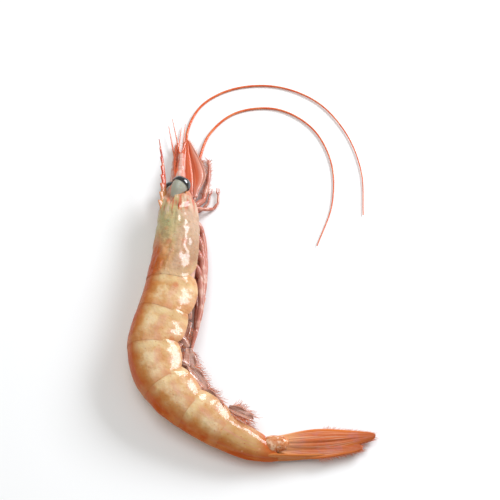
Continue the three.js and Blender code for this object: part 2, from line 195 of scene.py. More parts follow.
@dataclass(frozen=True)
class Finish:
    """A wet natural surface: a base colour, washes and spots over it, relief and gloss."""

    name: str
    base: str
    washes: tuple[Wash, ...] = ()
    spots: tuple[Spots, ...] = ()
    cloud_mm: float = 4.0
    streaks: float = 14.0
    streak_length: float = 1.2
    roughness: float = 0.38
    roughness_spread: float = 0.1
    coat: float = 0.3  # the film of water, which covers it in part
    coat_ior: float = 1.8
    coat_roughness: float = 0.11
    ior: float = 1.14  # the step from water to what lies under it, so the surface itself reflects little
    subsurface: float = 0.2
    scatter_mm: float = 0.8
    scatter_colours: tuple[float, float, float] = (1.0, 0.45, 0.22)  # red light goes furthest in flesh
    bump_mm: float = 0.07
    grain_mm: float = 0.9
    streak_bump_mm: float = 0.0

    def material(self) -> bpy.types.Material:
        """Makes the finish's material, or gives the one made before.

        Returns:
            The material, which all pieces of this finish share.
        """
        if self.name in bpy.data.materials:
            return bpy.data.materials[self.name]
        made = bpy.data.materials.new(self.name)
        Painter(self, emptied(made)).paint()
        return made


class Painter:
    """Builds the nodes of one finish."""

    def __init__(self, finish: Finish, tree: bpy.types.NodeTree) -> None:
        """Adds the guides that the washes and the relief follow.

        Args:
            finish: The finish to build.
            tree: The material's empty node tree.
        """
        self.finish = finish
        self.add = partial(add_node, tree)
        self.where = self.add("ShaderNodeTexCoord").outputs["Object"]
        along, girth = (self.add("ShaderNodeAttribute", attribute_name=guide.value).outputs["Fac"]
                        for guide in (ALONG, GIRTH))
        clouds = self.add("ShaderNodeTexNoise", {
            "Vector": self.where, "Scale": 1 / (finish.cloud_mm * MM), "Detail": 3.0, "Roughness": 0.55})
        flat = self.add("ShaderNodeCombineXYZ", {
            "X": self.add("ShaderNodeMath", {0: girth, 1: finish.streaks}, operation="MULTIPLY"),
            "Y": self.add("ShaderNodeMath", {0: along, 1: finish.streak_length}, operation="MULTIPLY")})
        lines = self.add("ShaderNodeTexNoise", {"Vector": flat, "Scale": 1.0, "Detail": 2.0})
        self.guides: dict[Guide, Feed] = {ALONG: along, GIRTH: girth, CLOUDS: clouds, STREAKS: lines}

    def paint(self) -> None:
        """Adds the shader and all that feeds it."""
        finish = self.finish
        shader = self.add("ShaderNodeBsdfPrincipled", {
            "Base Color": self._spotted(self._washed()),
            "Roughness": self._gloss(),
            "IOR": finish.ior,
            "Coat Weight": finish.coat,
            "Coat Roughness": finish.coat_roughness,
            "Coat IOR": finish.coat_ior,
            "Subsurface Weight": finish.subsurface,
            "Subsurface Radius": finish.scatter_colours,
            "Subsurface Scale": finish.scatter_mm * MM,
            "Normal": self._relief(),
        })
        self.add("ShaderNodeOutputMaterial", {"Surface": shader})

    def _laid(self, colour: Colour, tint: str, *masks: Feed | float) -> Feed:
        """Lays a tint over a colour where all of its masks say.

        Args:
            colour: The colour so far.
            tint: The hex colour to lay over it.
            *masks: Where the tint shows, each from 0 to 1. They are multiplied.

        Returns:
            The socket that gives the mixed colour.
        """
        mask = masks[0]
        for other in masks[1:]:
            mask = self.add("ShaderNodeMath", {0: mask, 1: other}, operation="MULTIPLY")
        mixed = self.add("ShaderNodeMix", {0: mask, 6: colour, 7: linear(tint)}, data_type="RGBA")
        return mixed.outputs[2]

    def _washed(self) -> Colour:
        """Lays each wash over the base colour in turn.

        Returns:
            The colour with all washes on it.
        """
        colour: Colour = linear(self.finish.base)
        for wash in self.finish.washes:
            value = self.guides[wash.guide]
            if wash.repeat:
                run = self.add("ShaderNodeMath", {0: value, 1: wash.repeat}, operation="MULTIPLY")
                value = self.add("ShaderNodeMath", {0: run}, operation="FRACT")
            if wash.ragged:
                shift = self.add("ShaderNodeMath", {
                    0: self.guides[CLOUDS], 1: 2 * wash.ragged, 2: -wash.ragged}, operation="MULTIPLY_ADD")
                value = self.add("ShaderNodeMath", {0: value, 1: shift})
            low, high = wash.low, wash.high
            if wash.spread is Spread.BAND:
                off = self.add("ShaderNodeMath", {0: value, 1: wash.low}, operation="SUBTRACT")
                value = self.add("ShaderNodeMath", {0: off}, operation="ABSOLUTE")
                low, high = wash.high, 0.0
            limits = [(value, low, high, wash.strength)]
            if wash.within:
                guide, start, end = wash.within
                limits.append((self.guides[guide], start, end, 1.0))
            masks = [self.add("ShaderNodeMapRange", {
                "Value": feed, "From Min": start, "From Max": end, "To Max": strength},
                interpolation_type="SMOOTHSTEP") for feed, start, end, strength in limits]
            colour = self._laid(colour, wash.tint, *masks)
        return colour

    def _spotted(self, colour: Colour) -> Colour:
        """Scatters the pigment cells that dot the shell, each kind of spot in turn.

        Args:
            colour: The colour so far.

        Returns:
            The colour with all spots on it.
        """
        for spots in self.finish.spots:
            cells = self.add("ShaderNodeTexVoronoi", {
                "Vector": self.where, "Scale": 1 / (spots.spacing_mm * MM)})
            dots = self.add("ShaderNodeMapRange", {
                "Value": cells, "From Min": spots.size, "From Max": spots.size * spots.core},
                interpolation_type="SMOOTHSTEP")
            pick = self.add("ShaderNodeSeparateColor", {"Color": cells.outputs["Color"]})
            chosen = self.add("ShaderNodeMath", {0: pick, 1: spots.share}, operation="LESS_THAN")
            colour = self._laid(colour, spots.tint, dots, chosen, spots.strength)
        return colour

    def _gloss(self) -> Feed:
        """Varies roughness softly, as drying patches do."""
        middle, spread = self.finish.roughness, self.finish.roughness_spread
        return self.add("ShaderNodeMapRange", {
            "Value": self.guides[CLOUDS], "From Min": 0.3, "From Max": 0.7,
            "To Min": middle - spread, "To Max": middle + spread})

    def _relief(self) -> Feed:
        """Gives the fine pitted relief, and lengthwise ridges where the finish has them.

        Returns:
            The node that gives the surface its bumps.
        """
        pits = self.add("ShaderNodeTexNoise", {
            "Vector": self.where, "Scale": 1 / (self.finish.grain_mm * MM), "Detail": 2.0,
            "Roughness": 0.5})
        bump = self.add("ShaderNodeBump", {
            "Strength": 1.0, "Distance": self.finish.bump_mm * MM, "Height": pits})
        if not self.finish.streak_bump_mm:
            return bump
        return self.add("ShaderNodeBump", {
            "Strength": 1.0, "Distance": self.finish.streak_bump_mm * MM, "Height": self.guides[STREAKS],
            "Normal": bump})


# ---------------------------------------------------------------------------- finishes

# Orange pigment lies along the back of every tail shell, and breaks up down the flanks.
BACK_PIGMENT = (
    Wash("#cf8c40", GIRTH, 0.6, 0.22, 0.8, ragged=0.16),
    Wash("#bc4e00", GIRTH, 0.48, 0.08, 1.0, ragged=0.14),
    Wash("#c8803c", STREAKS, 0.5, 0.66, 0.6, within=(GIRTH, 0.4, 0.1)),
    Wash("#cf7c38", CLOUDS, 0.46, 0.72, 0.55, within=(GIRTH, 0.42, 0.12)),
    Wash("#c67a40", ALONG, 0.1, 0.16, 0.3, Spread.BAND, ragged=0.14, within=(GIRTH, 0.4, 0.1)),
)

# Raw shrimp shell is chitin, grown in thin layers and still wet: the meat shows through it softly, pigment
# lies in it as washes and dots, and a film of water gives it small sharp highlights over a broader sheen.
ABDOMEN_SHELL = Finish(
    name="wet_chitin_tail_shell",
    base="#d09d68",
    washes=(
        Wash("#e3c092", CLOUDS, 0.42, 0.64, 0.95),
        Wash("#c07c46", CLOUDS, 0.46, 0.3, 0.6),
        Wash("#d6977c", STREAKS, 0.48, 0.66, 0.8),
        Wash("#cc8f6c", GIRTH, 0.66, 1.0, 0.5, ragged=0.1),
        *BACK_PIGMENT,
        Wash("#e6c692", ALONG, 0.14, 0.18, 0.5, Spread.BAND, ragged=0.06, within=(GIRTH, 0.16, 0.42)),
        Wash("#c67e48", ALONG, 0.8, 1.0, 0.5, ragged=0.12),
    ),
    spots=(Spots("#c06c38", strength=0.5), Spots("#c8703e", 4.5, 0.22, 0.28, 0.6)),
    streaks=5.0,
    bump_mm=0.16,
)

# The last tail shell is the same chitin with more orange pigment towards the fan.
LAST_SHELL = Finish(
    name="wet_chitin_last_tail_shell",
    base="#c9975f",
    washes=(
        Wash("#d4a878", CLOUDS, 0.42, 0.64, 0.95),
        Wash("#b8743f", CLOUDS, 0.46, 0.3, 0.6),
        Wash("#ce8c6c", STREAKS, 0.48, 0.66, 0.8),
        Wash("#c08460", GIRTH, 0.6, 1.0, 0.6, ragged=0.1),
        *BACK_PIGMENT,
        Wash("#bf5c22", ALONG, 0.6, 0.9, 1.0, ragged=0.16),
    ),
    spots=(Spots("#b4582c", share=0.4), Spots("#e0a878", 1.3, 0.3, 0.34, 0.5),
           Spots("#c26a38", 4.5, 0.22, 0.28, 0.6)),
)

# The carapace is thicker chitin over dark organs, so its front looks grey green, and its hind part orange.
CARAPACE_SHELL = Finish(
    name="wet_chitin_carapace",
    base="#c2966a",
    washes=(
        Wash("#bba878", ALONG, 0.9, 0.5, 0.9, ragged=0.14),
        Wash("#a8a274", CLOUDS, 0.48, 0.64, 0.7, within=(ALONG, 0.85, 0.55)),
        Wash("#c09682", GIRTH, 0.36, 0.7, 0.75, ragged=0.3),
        Wash("#d0ae88", CLOUDS, 0.42, 0.66, 0.8, within=(ALONG, 0.4, 0.7)),
        Wash("#94785a", CLOUDS, 0.46, 0.32, 0.5),
        # Painted shade: the lower flank of the carapace's hind half is darkened brown, for the shade that
        # falls there.
        Wash("#a47c5c", GIRTH, 0.6, 0.9, 0.85, ragged=0.14, within=(ALONG, 0.35, 0.75)),
        Wash("#c97c30", GIRTH, 0.6, 0.3, 0.8, ragged=0.14, within=(ALONG, 0.55, 0.85)),
        Wash("#bc4e00", GIRTH, 0.48, 0.08, 1.0, ragged=0.14, within=(ALONG, 0.42, 0.8)),
        Wash("#b06a4c", STREAKS, 0.52, 0.66, 0.4, within=(ALONG, 0.4, 0.8)),
        Wash("#e2bda6", STREAKS, 0.48, 0.4, 0.8, within=(ALONG, 0.36, 0.1)),
        Wash("#c05038", STREAKS, 0.52, 0.6, 0.85, within=(ALONG, 0.4, 0.1)),
        Wash("#c97a5c", ALONG, 0.13, 0.02, 0.75, ragged=0.06),
        Wash("#cfa87c", ALONG, 0.8, 1.0, 0.7, ragged=0.1, within=(GIRTH, 0.2, 0.45)),
    ),
    spots=(Spots("#b8663c", share=0.22), Spots("#c4704a", 5.0, 0.2, 0.3, 0.5)),
    streaks=10.0,
    streak_length=3.6,
    bump_mm=0.3,
    grain_mm=1.1,
)

# The rostrum is a hard thin blade of chitin, deep orange red along its teeth.
ROSTRUM_SHELL = Finish(
    name="wet_chitin_rostrum",
    base="#b8482c",
    washes=(
        Wash("#be8450", ALONG, 0.5, 0.3, 0.9, ragged=0.08),
        Wash("#a03024", ALONG, 0.6, 0.9, 0.7),
        Wash("#dc9c80", CLOUDS, 0.54, 0.68, 0.5),
    ),
    subsurface=0.15,
)

# Fan blades are thin stiff chitin, orange with paler rays, so light comes through between the ribs.
FAN_SHELL = Finish(
    name="wet_chitin_tail_fan",
    base="#bb6030",
    washes=(
        Wash("#b4685a", CLOUDS, 0.46, 0.62, 0.7),
        Wash("#dea27e", STREAKS, 0.53, 0.64, 0.85),
        Wash("#a24a1e", STREAKS, 0.46, 0.36, 0.75),
        Wash("#d4752a", GIRTH, 0.55, 0.95, 0.8),
        Wash("#d4752a", GIRTH, -0.55, -0.95, 0.8),
        Wash("#d8a070", ALONG, 0.42, 0.06, 0.85, ragged=0.12),
        Wash("#a64e26", ALONG, 0.75, 1.0, 0.5, ragged=0.08),
    ),
    streaks=9.0,
    streak_bump_mm=0.12,
)

# The middle piece of the fan is thicker, so its orange is more golden.
TELSON_SHELL = Finish(
    name="wet_chitin_telson",
    base="#c4702c",
    washes=(
        Wash("#dfa874", STREAKS, 0.52, 0.66, 0.7),
        Wash("#b04c18", STREAKS, 0.46, 0.34, 0.6),
        Wash("#c87c3c", ALONG, 0.3, 0.0, 0.7, ragged=0.1),
    ),
    spots=(Spots("#b4582c", share=0.3),),
    streaks=3.0,
    streak_bump_mm=0.08,
)

# The stumps that carry the blades are knobbly, mottled cream and orange.
FAN_BASE_SHELL = Finish(
    name="wet_chitin_fan_base",
    base="#cb8454",
    washes=(
        Wash("#e6bc98", CLOUDS, 0.5, 0.62, 0.85),
        Wash("#a8502a", CLOUDS, 0.46, 0.36, 0.8),
    ),
    spots=(Spots("#e8c4b0", 1.1, 0.4, 0.34, 0.7), Spots("#a84c2a", 0.9, 0.4)),
    cloud_mm=1.6,
    bump_mm=0.3,
    grain_mm=1.2,
)

# The raw meat under the shells is glassy grey pink.
MEAT = Finish(
    name="raw_shrimp_meat",
    base="#bd8a7a",
    washes=(
        Wash("#a86a54", CLOUDS, 0.48, 0.66, 0.7),
        Wash("#e0bda8", CLOUDS, 0.46, 0.32, 0.7),
        Wash("#dcb49c", ALONG, 0.5, 0.4, 0.5, Spread.BAND, ragged=0.2, repeat=19.5),
        Wash("#cfa184", GIRTH, -0.2, 0.5, 0.6),
        Wash("#c87a54", ALONG, 0.12, 0.06, 0.75, ragged=0.02),
        Wash("#b04a30", STREAKS, 0.52, 0.6, 0.7, within=(ALONG, 0.1, 0.06)),
        Wash("#e8c4b0", STREAKS, 0.46, 0.38, 0.7, within=(ALONG, 0.1, 0.06)),
    ),
    streak_length=16.0,
    streaks=6.0,
    cloud_mm=2.4,
    subsurface=0.4,
    scatter_mm=2.0,
    bump_mm=0.16,
    grain_mm=1.3,
)

# Swimmerets are soft, thin and ringed, pink brown: their own pink, deepened in part as painted shade. Their
# dark streaks are painted shade of the gaps between them, and their pale streaks are painted highlights.
SWIMMERET = Finish(
    name="soft_chitin_swimmeret",
    base="#ab7661",
    washes=(
        # Painted highlights: the pale streaks. Painted shade: the dark streaks after them.
        Wash("#dfbba8", STREAKS, 0.5, 0.64, 0.85),
        Wash("#8c4a36", STREAKS, 0.46, 0.36, 0.6),
        Wash("#d0a18c", CLOUDS, 0.48, 0.64, 0.6),
        Wash("#9c5640", ALONG, 0.5, 0.35, 0.3, Spread.BAND, repeat=12),
    ),
    cloud_mm=2.5,
    coat=0.6,
    subsurface=0.35,
    bump_mm=0.14,
)

# Legs are glassy tubes of chitin with pink muscle in them and red joints.
LEG = Finish(
    name="wet_chitin_leg",
    base="#b87664",
    washes=(
        Wash("#a04836", STREAKS, 0.52, 0.66, 0.7),
        Wash("#d6ad99", CLOUDS, 0.5, 0.66, 0.7),
    ),
    cloud_mm=3.0,
    subsurface=0.35,
)

# The stout stems of the feelers are pinkish white with red lines.
STALK = Finish(
    name="wet_chitin_feeler_stem",
    base="#d3a090",
    washes=(
        Wash("#e8cec0", CLOUDS, 0.46, 0.66, 0.7),
        Wash("#c45a3c", STREAKS, 0.5, 0.6, 0.8),
        Wash("#bc5a40", ALONG, 0.46, 0.03, 0.4, Spread.BAND, ragged=0.03),
        Wash("#bc5a40", ALONG, 0.76, 0.03, 0.4, Spread.BAND, ragged=0.03),
    ),
    cloud_mm=2.0,
    streaks=4.0,
    streak_length=0.8,
    bump_mm=0.03,
    streak_bump_mm=0.05,
)

# Antennal scales are thin plates, orange red with pale rays.
SCALE = Finish(
    name="wet_chitin_antennal_scale",
    base="#c65c38",
    washes=(
        Wash("#d98f70", STREAKS, 0.54, 0.7, 0.7),
        Wash("#cc9a88", GIRTH, -0.4, -0.85, 0.8, ragged=0.14),
        Wash("#ac3e24", STREAKS, 0.46, 0.34, 0.75),
        Wash("#c89080", ALONG, 0.3, 0.0, 0.6, ragged=0.1),
    ),
    streaks=8.0,
    streak_bump_mm=0.12,
)

# Whips are horny threads of hundreds of rings, orange red and a little banded.
WHIP = Finish(
    name="horny_whip",
    base="#d6602f",
    washes=(
        Wash("#e28a58", CLOUDS, 0.45, 0.65, 0.6),
        Wash("#ac3c1e", ALONG, 0.0, 0.16, 0.5, Spread.BAND, repeat=60),
    ),
    subsurface=0.1,
)

# Bristles are hair-thin chitin: pale pink and dull, because they are too fine to hold a film of water.
FRINGE = Finish(
    name="chitin_bristle",
    base="#cf7c58",
    coat=0.2,
    subsurface=0.0,
    bump_mm=0.01,
)

# The eye stalk is pale grey green, and its surface matt beside the shells.
EYE_STALK = Finish(
    name="wet_chitin_eye_stalk",
    base="#acac9c",
    washes=(
        Wash("#c2c4b4", CLOUDS, 0.5, 0.7, 0.7),
        Wash("#c0805f", ALONG, 0.16, 0.04, 0.6),
    ),
    cloud_mm=1.5,
)

# The cornea is clear chitin over black pigment, so it is a black mirror with a faint brown depth.
EYE = Finish(
    name="black_cornea",
    base="#0b0a0a",
    washes=(Wash("#241813", CLOUDS, 0.45, 0.75, 0.8),),
    cloud_mm=1.5,
    roughness=0.16,
    roughness_spread=0.05,
    coat=1.0,
    coat_roughness=0.03,
    subsurface=0.0,
    bump_mm=0.01,
    grain_mm=0.12,
)


# ---------------------------------------------------------------------------- the bent spine


class Side(IntEnum):
    """A side of the animal, with the sign of its distances from the middle plane."""

    LEFT = -1
    RIGHT = 1

    @property
    def label(self) -> str:
        """The word for it in the names of pieces."""
        return self.name.lower()


@dataclass(frozen=True)
class Section:
    """A section of the trunk: its place, the spine's heading, depth, width and the lean of the back."""

    at: float
    heading: float
    depth: float
    width: float
    lean: float


SECTIONS = (
    Section(-3, -86, 5.6, 6.0, 40),
    Section(1, -86, 8.6, 8.6, 40),
    Section(10, -87, 11.8, 11.2, 39),
    Section(22, -93, 13.8, 12.6, 34),
    Section(34, -98, 15.0, 12.8, 27),
    Section(41, -102, 15.4, 12.6, 23),
    Section(51.5, -105, 15.6, 12.6, 18),
    Section(63, -73, 14.6, 12.2, 14),
    Section(74.5, -43, 13.0, 11.2, 11),
    Section(85.5, -33, 11.4, 9.6, 8),
    Section(96, -24, 9.6, 7.8, 6),
    Section(107, -3, 7.8, 5.6, 4),
    Section(136, 8, 7.6, 4.6, 2),
)
CARAPACE = 36.0  # eye to hind margin
SOMITES = (10.0, 11.0, 12.0, 11.0, 11.0, 16.0)
LAST = len(SOMITES) - 1
TRUNK = CARAPACE + sum(SOMITES)
FAN = 28.0


def mix(low: float, high: float, share: float) -> float:
    """Gives the value at a share of the way from low to high."""
    return low + (high - low) * share


def smooth(low: float, high: float, value: float) -> float:
    """Rises from 0 at low to 1 at high, with soft ends."""
    t = min(max((value - low) / (high - low), 0.0), 1.0)
    return t * t * (3 - 2 * t)


def plateau(value: float, start: float, full: float, fade: float, end: float) -> float:
    """Rises from 0 at the start to 1 at full, and falls from 1 at fade to 0 at the end."""
    return smooth(start, full, value) * (1 - smooth(fade, end, value))


def hump(value: float, centre: float, spread: float) -> float:
    """Is 1 at the centre and falls away over the spread."""
    return math.exp(-(((value - centre) / spread) ** 2))


def signed_power(value: float, exponent: float) -> float:
    """Raises a number's size to a power and keeps its sign."""
    return math.copysign(abs(value) ** exponent, value)


@dataclass(frozen=True)
class Station:
    """A place on the spine in millimetres, with the directions of the section there."""

    origin: Vector
    tail: Vector
    back: Vector
    right: Vector


@dataclass
class Spine:
    """The animal's bent spine, and the outline of the trunk round it.

    Args:
        eye: Where the spine starts, in metres: level with the eye, on the floor.
    """

    eye: Vector
    step: float = 0.25
    front: float = -40.0
    spare: float = 12.0  # how far it runs on past the fan
    squareness: float = 2.3  # of the sections: 2 is an ellipse
    back_taper: float = 0.1  # how much narrower they are at the back than at the belly
    ground_cut: float = 0.25  # depth of shell that the ground flattens
    rim_angle: float = math.radians(128)
    rim_start: float = 0.68  # share of the girth where the rim begins to reach down
    rim_tuck: float = 0.5  # how far it draws in
    keel_angle: float = 0.16
    stations: list[Station] = field(default_factory=list)

    def __post_init__(self) -> None:
        """Walks along the spine once and keeps a station at every step."""
        ahead = int(-self.front / self.step)
        bend = Vector((0, 0, 0))
        for i in range(int((TRUNK + FAN + self.spare - self.front) / self.step)):
            at = self.front + i * self.step
            heading = math.radians(self.value("heading", max(at, 0.0)))
            lean = math.radians(self.value("lean", at))
            tail = Vector((math.cos(heading), math.sin(heading), 0))
            outward = Vector((tail.y, -tail.x, 0))
            back = outward * math.cos(lean) + UP * math.sin(lean)
            right = UP * math.cos(lean) - outward * math.sin(lean)
            origin = tail * at if i < ahead else bend.copy()
            if i >= ahead:
                onward = math.radians(self.value("heading", at + self.step / 2))
                bend += Vector((math.cos(onward), math.sin(onward), 0)) * self.step
            wide, deep = self.half("width", at) * math.cos(lean), self.half("depth", at) * math.sin(lean)
            origin.z = math.hypot(wide, deep) - self.ground_cut
            self.stations.append(Station(origin, tail, back, right))

    def value(self, name: str, at: float) -> float:
        """Gives a section's value anywhere along the spine, on a smooth curve.

        Args:
            name: The field of Section to read.
            at: Place along the spine.

        Returns:
            The value between the sections' own.
        """
        last = len(SECTIONS) - 1
        i = next((k for k in range(last) if SECTIONS[k + 1].at > at), last - 1)
        near = [SECTIONS[min(max(k, 0), last)] for k in range(i - 1, i + 3)]
        (at_0, v_0), (at_1, v_1), (at_2, v_2), (at_3, v_3) = ((s.at, getattr(s, name)) for s in near)
        span = at_2 - at_1
        t = min(max((at - at_1) / span, 0.0), 1.0)
        slope_1 = (v_2 - v_0) / (at_2 - at_0) * span
        slope_2 = (v_3 - v_1) / (at_3 - at_1) * span
        return mix(v_1, v_2, smooth(0, 1, t)) + slope_1 * t * (1 - t) ** 2 + slope_2 * t * t * (t - 1)

    def half(self, name: str, at: float) -> float:
        """Gives half a section's depth or width anywhere along the spine."""
        return self.value(name, at) / 2

    def station(self, at: float) -> Station:
        """Gives the station at any place, between the ones that are kept.

        Args:
            at: Place along the spine.

        Returns:
            The station there.
        """
        steps = min(max((at - self.front) / self.step, 0.0), len(self.stations) - 1.001)
        i = int(steps)
        a, b, t = self.stations[i], self.stations[i + 1], steps - i
        return Station(a.origin.lerp(b.origin, t), a.tail.lerp(b.tail, t), a.back.lerp(b.back, t),
                       a.right.lerp(b.right, t))

    def place(self, at: float, back: float, right: float, clearance: float = GROUND) -> Vector:
        """Gives a point of the animal in metres, kept clearance millimetres over the floor.

        Args:
            at: Place along the spine.
            back: How far the point lies towards the back.
            right: How far it lies towards the right flank.
            clearance: The least height over the floor.

        Returns:
            The point.
        """
        here = self.station(at)
        spot = here.origin + here.back * back + here.right * right
        spot.z = max(spot.z, clearance)
        return self.eye + spot * MM

    def direction(self, at: float, tail: float, back: float, right: float) -> Vector:
        """Gives a unit vector from shares of the directions at a place."""
        here = self.station(at)
        return (here.tail * tail + here.back * back + here.right * right).normalized()

    def shell(self, at: float, share: float, lift: float, drop: float, keel: float = 0.0) -> Vector:
        """Gives a point of the shell in metres.

        Args:
            at: Place along the spine.
            share: 0 on the back, -1 at the left rim and 1 at the right rim.
            lift: How far the point stands out from the trunk's outline.
            drop: How far the rim reaches down past the outline.
            keel: Height of the ridge along the back.

        Returns:
            The point.
        """
        angle = abs(share) * self.rim_angle
        c, s = math.cos(angle), math.sin(angle)
        power = 2 / self.squareness
        rim = smooth(self.rim_start, 1.0, abs(share))
        back = (self.half("depth", at) + lift) * signed_power(c, power)
        back += keel * hump(angle, 0, self.keel_angle) - drop * rim
        right = (self.half("width", at) + lift) * s**power * (1 - self.back_taper * c) - self.rim_tuck * rim
        return self.place(at, back, math.copysign(right, share))


# ---------------------------------------------------------------------------- modelling by hand


def select_only(piece: Piece) -> None:
    """Deselects everything, then selects one piece and makes it active.

    Args:
        piece: The piece to work on.
    """
    bpy.ops.object.select_all(action="DESELECT")
    piece.select_set(True)
    bpy.context.view_layer.objects.active = piece


def adopt(name: str) -> Piece:
    """Names the object that was just added, puts its place in its mesh, and gives it.

    Args:
        name: The new piece's name.

    Returns:
        The piece.
    """
    piece = bpy.context.object
    piece.name = piece.data.name = name
    bpy.ops.object.transform_apply(location=True, rotation=True, scale=True)
    return piece


@contextmanager
def edit_mode() -> Iterator[None]:
    """Opens the active piece's mesh for editing, and closes it after.

    Yields:
        Nothing: what stands under it works on the open mesh.
    """
    bpy.ops.object.mode_set(mode="EDIT")
    yield
    bpy.ops.object.mode_set(mode="OBJECT")


def keep_values(piece: Piece, girths: Sequence[float], alongs: Sequence[float]) -> None:
    """Keeps two numbers for each point of a piece, under the names that its finish reads.

    Args:
        piece: The piece.
        girths: Each point's place round or across it.
        alongs: Each point's share of its length.
    """
    for guide, numbers in ((GIRTH, girths), (ALONG, alongs)):
        kept = piece.data.attributes.new(guide.value, "FLOAT", "POINT")
        kept.data.foreach_set("value", numbers)


def modified(piece: Piece, kind: str, **settings: object) -> Piece:
    """Adds a modifier with its settings to a piece, applies it, and gives the piece.

    Args:
        piece: The piece.
        kind: Blender's name for the modifier.
        **settings: The modifier's own properties.

    Returns:
        The piece.
    """
    select_only(piece)
    bpy.ops.object.modifier_add(type=kind)
    modifier = piece.modifiers[-1]
    for name, value in settings.items():
        setattr(modifier, name, value)
    bpy.ops.object.modifier_apply(modifier=modifier.name)
    return piece


def smoothed(piece: Piece) -> Piece:
    """Rounds a piece with an applied subdivision surface, and gives it."""
    return modified(piece, "SUBSURF", levels=1, render_levels=1)


def thickened(piece: Piece, thickness: float, inside: Vector | None = None) -> Piece:
    """Gives a sheet its thickness in millimetres, inwards from its outer face, or on both sides.

    Args:
        piece: The sheet.
        thickness: Its thickness.
        inside: A point in metres that the outer face looks away from. Without it both sides grow.

    Returns:
        The sheet.
    """
    if inside is not None:
        middle = piece.data.polygons[len(piece.data.polygons) // 2]
        if middle.normal.dot(middle.center - inside) < 0:
            select_only(piece)
            with edit_mode():
                bpy.ops.mesh.select_all(action="SELECT")
                bpy.ops.mesh.flip_normals()
    return modified(piece, "SOLIDIFY", thickness=thickness * MM, offset=0 if inside is None else -1)


def sheet(name: str, across: int, along: int,
          shape: Callable[[float, float], tuple[Vector, float, float]]) -> Piece:
    """Models an open sheet: a grid is added, then wrapped to its shape point by point.

    Args:
        name: The piece's name.
        across: Faces across the sheet.
        along: Faces along the sheet.
        shape: Gives the point and its two guide values at a share from -1 to 1 across and from 0 to 1
            along.

    Returns:
        The sheet, one face thick.
    """
    bpy.ops.object.select_all(action="DESELECT")
    bpy.ops.mesh.primitive_grid_add(x_subdivisions=across, y_subdivisions=along, size=1)
    piece = adopt(name)
    girths, alongs = [], []
    for vertex in piece.data.vertices:
        vertex.co, girth, lengthwise = shape(2 * vertex.co.x, vertex.co.y + 0.5)
        girths.append(girth)
        alongs.append(lengthwise)
    keep_values(piece, girths, alongs)
    piece.data.update()
    return piece


def loft(name: str, sides: int, steps: int, point: Callable[[float, float], Vector]) -> Piece:
    """Models a closed body: a circle is added, extruded from ring to ring, and both ends are filled.

    Args:
        name: The piece's name.
        sides: Points on each ring.
        steps: Stretches from the first ring to the last.
        point: Gives the point in metres at a share of the length and at an angle from the top.

    Returns:
        The body.
    """
    bpy.ops.object.select_all(action="DESELECT")
    bpy.ops.mesh.primitive_circle_add(vertices=sides, radius=MM)
    piece = adopt(name)
    with edit_mode():
        for _ in range(steps):
            bpy.ops.mesh.extrude_region_move(TRANSFORM_OT_translate={"value": (0, 0, MM)})
        bpy.ops.mesh.edge_face_add()
        bpy.ops.mesh.select_all(action="DESELECT")
    girths, alongs = [], []
    for vertex in piece.data.vertices:
        ring = min(round(vertex.co.z / MM), steps)
        turn = math.atan2(-vertex.co.x, vertex.co.y) % TURN
        angle = round(turn / TURN * sides) % sides * TURN / sides
        vertex.co = point(ring / steps, angle)
        vertex.select = ring == 0
        girths.append(math.cos(angle))
        alongs.append(ring / steps)
    keep_values(piece, girths, alongs)
    with edit_mode():
        bpy.ops.mesh.edge_face_add()
        bpy.ops.mesh.select_all(action="SELECT")
        bpy.ops.mesh.normals_make_consistent(inside=False)
    return piece


def joined(name: str, pieces: Sequence[Piece]) -> Piece:
    """Joins pieces into the first one and names it.

    Args:
        name: The joined piece's name.
        pieces: What to join.

    Returns:
        The first piece, with all the others in it.
    """
    select_only(pieces[0])
    for piece in pieces:
        piece.select_set(True)
    bpy.ops.object.join()
    pieces[0].name = pieces[0].data.name = name
    return pieces[0]


def dress(piece: Piece, finish: Finish) -> None:
    """Smooths, finishes and reports a piece, ties it to the root body, and hides the imported part it
    stands for.

    Args:
        piece: The piece.
        finish: What its surface is.
    """
    for vertex in piece.data.vertices:
        vertex.co.z = max(vertex.co.z, GROUND * MM)
    select_only(piece)
    bpy.ops.object.shade_smooth_by_angle(angle=SMOOTH_ANGLE)
    piece.data.materials.clear()
    piece.data.materials.append(finish.material())
    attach(piece, "root")
    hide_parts(NODE)
    LOG.info("%s: %d faces, %s", piece.name, len(piece.data.polygons), finish.name)


def curved(points: Sequence[Vector], steps: int, knots: int = 16) -> list[Vector]:
    """Gives evenly spaced points on one smooth curve through the given ones.

    Args:
        points: The points in metres that the curve passes.
        steps: How many stretches the curve is cut into.
        knots: How finely each stretch between given points is measured.

    Returns:
        One point more than there are steps.
    """
    ends = [points[0] * 2 - points[1], *points, points[-1] * 2 - points[-2]]
    dense = [points[0].copy()]
    for a, b, c, d in zip(ends, ends[1:], ends[2:], ends[3:]):
        before, span, after = ((q - p).length ** 0.5 for p, q in ((a, b), (b, c), (c, d)))
        leave = ((b - a) / before - (c - a) / (before + span) + (c - b) / span) * span
        arrive = ((c - b) / span - (d - b) / (span + after) + (d - c) / after) * span
        for k in range(1, knots + 1):
            t = k / knots
            dense.append(b.lerp(c, smooth(0, 1, t)) + leave * t * (1 - t) ** 2 + arrive * t * t * (t - 1))
    run = [0.0]
    for start, end in zip(dense, dense[1:]):
        run.append(run[-1] + (end - start).length)
    even, i = [], 0
    for k in range(steps + 1):
        goal = run[-1] * k / steps
        while i < len(dense) - 2 and run[i + 1] < goal:
            i += 1
        even.append(dense[i].lerp(dense[i + 1], (goal - run[i]) / (run[i + 1] - run[i])))
    return even


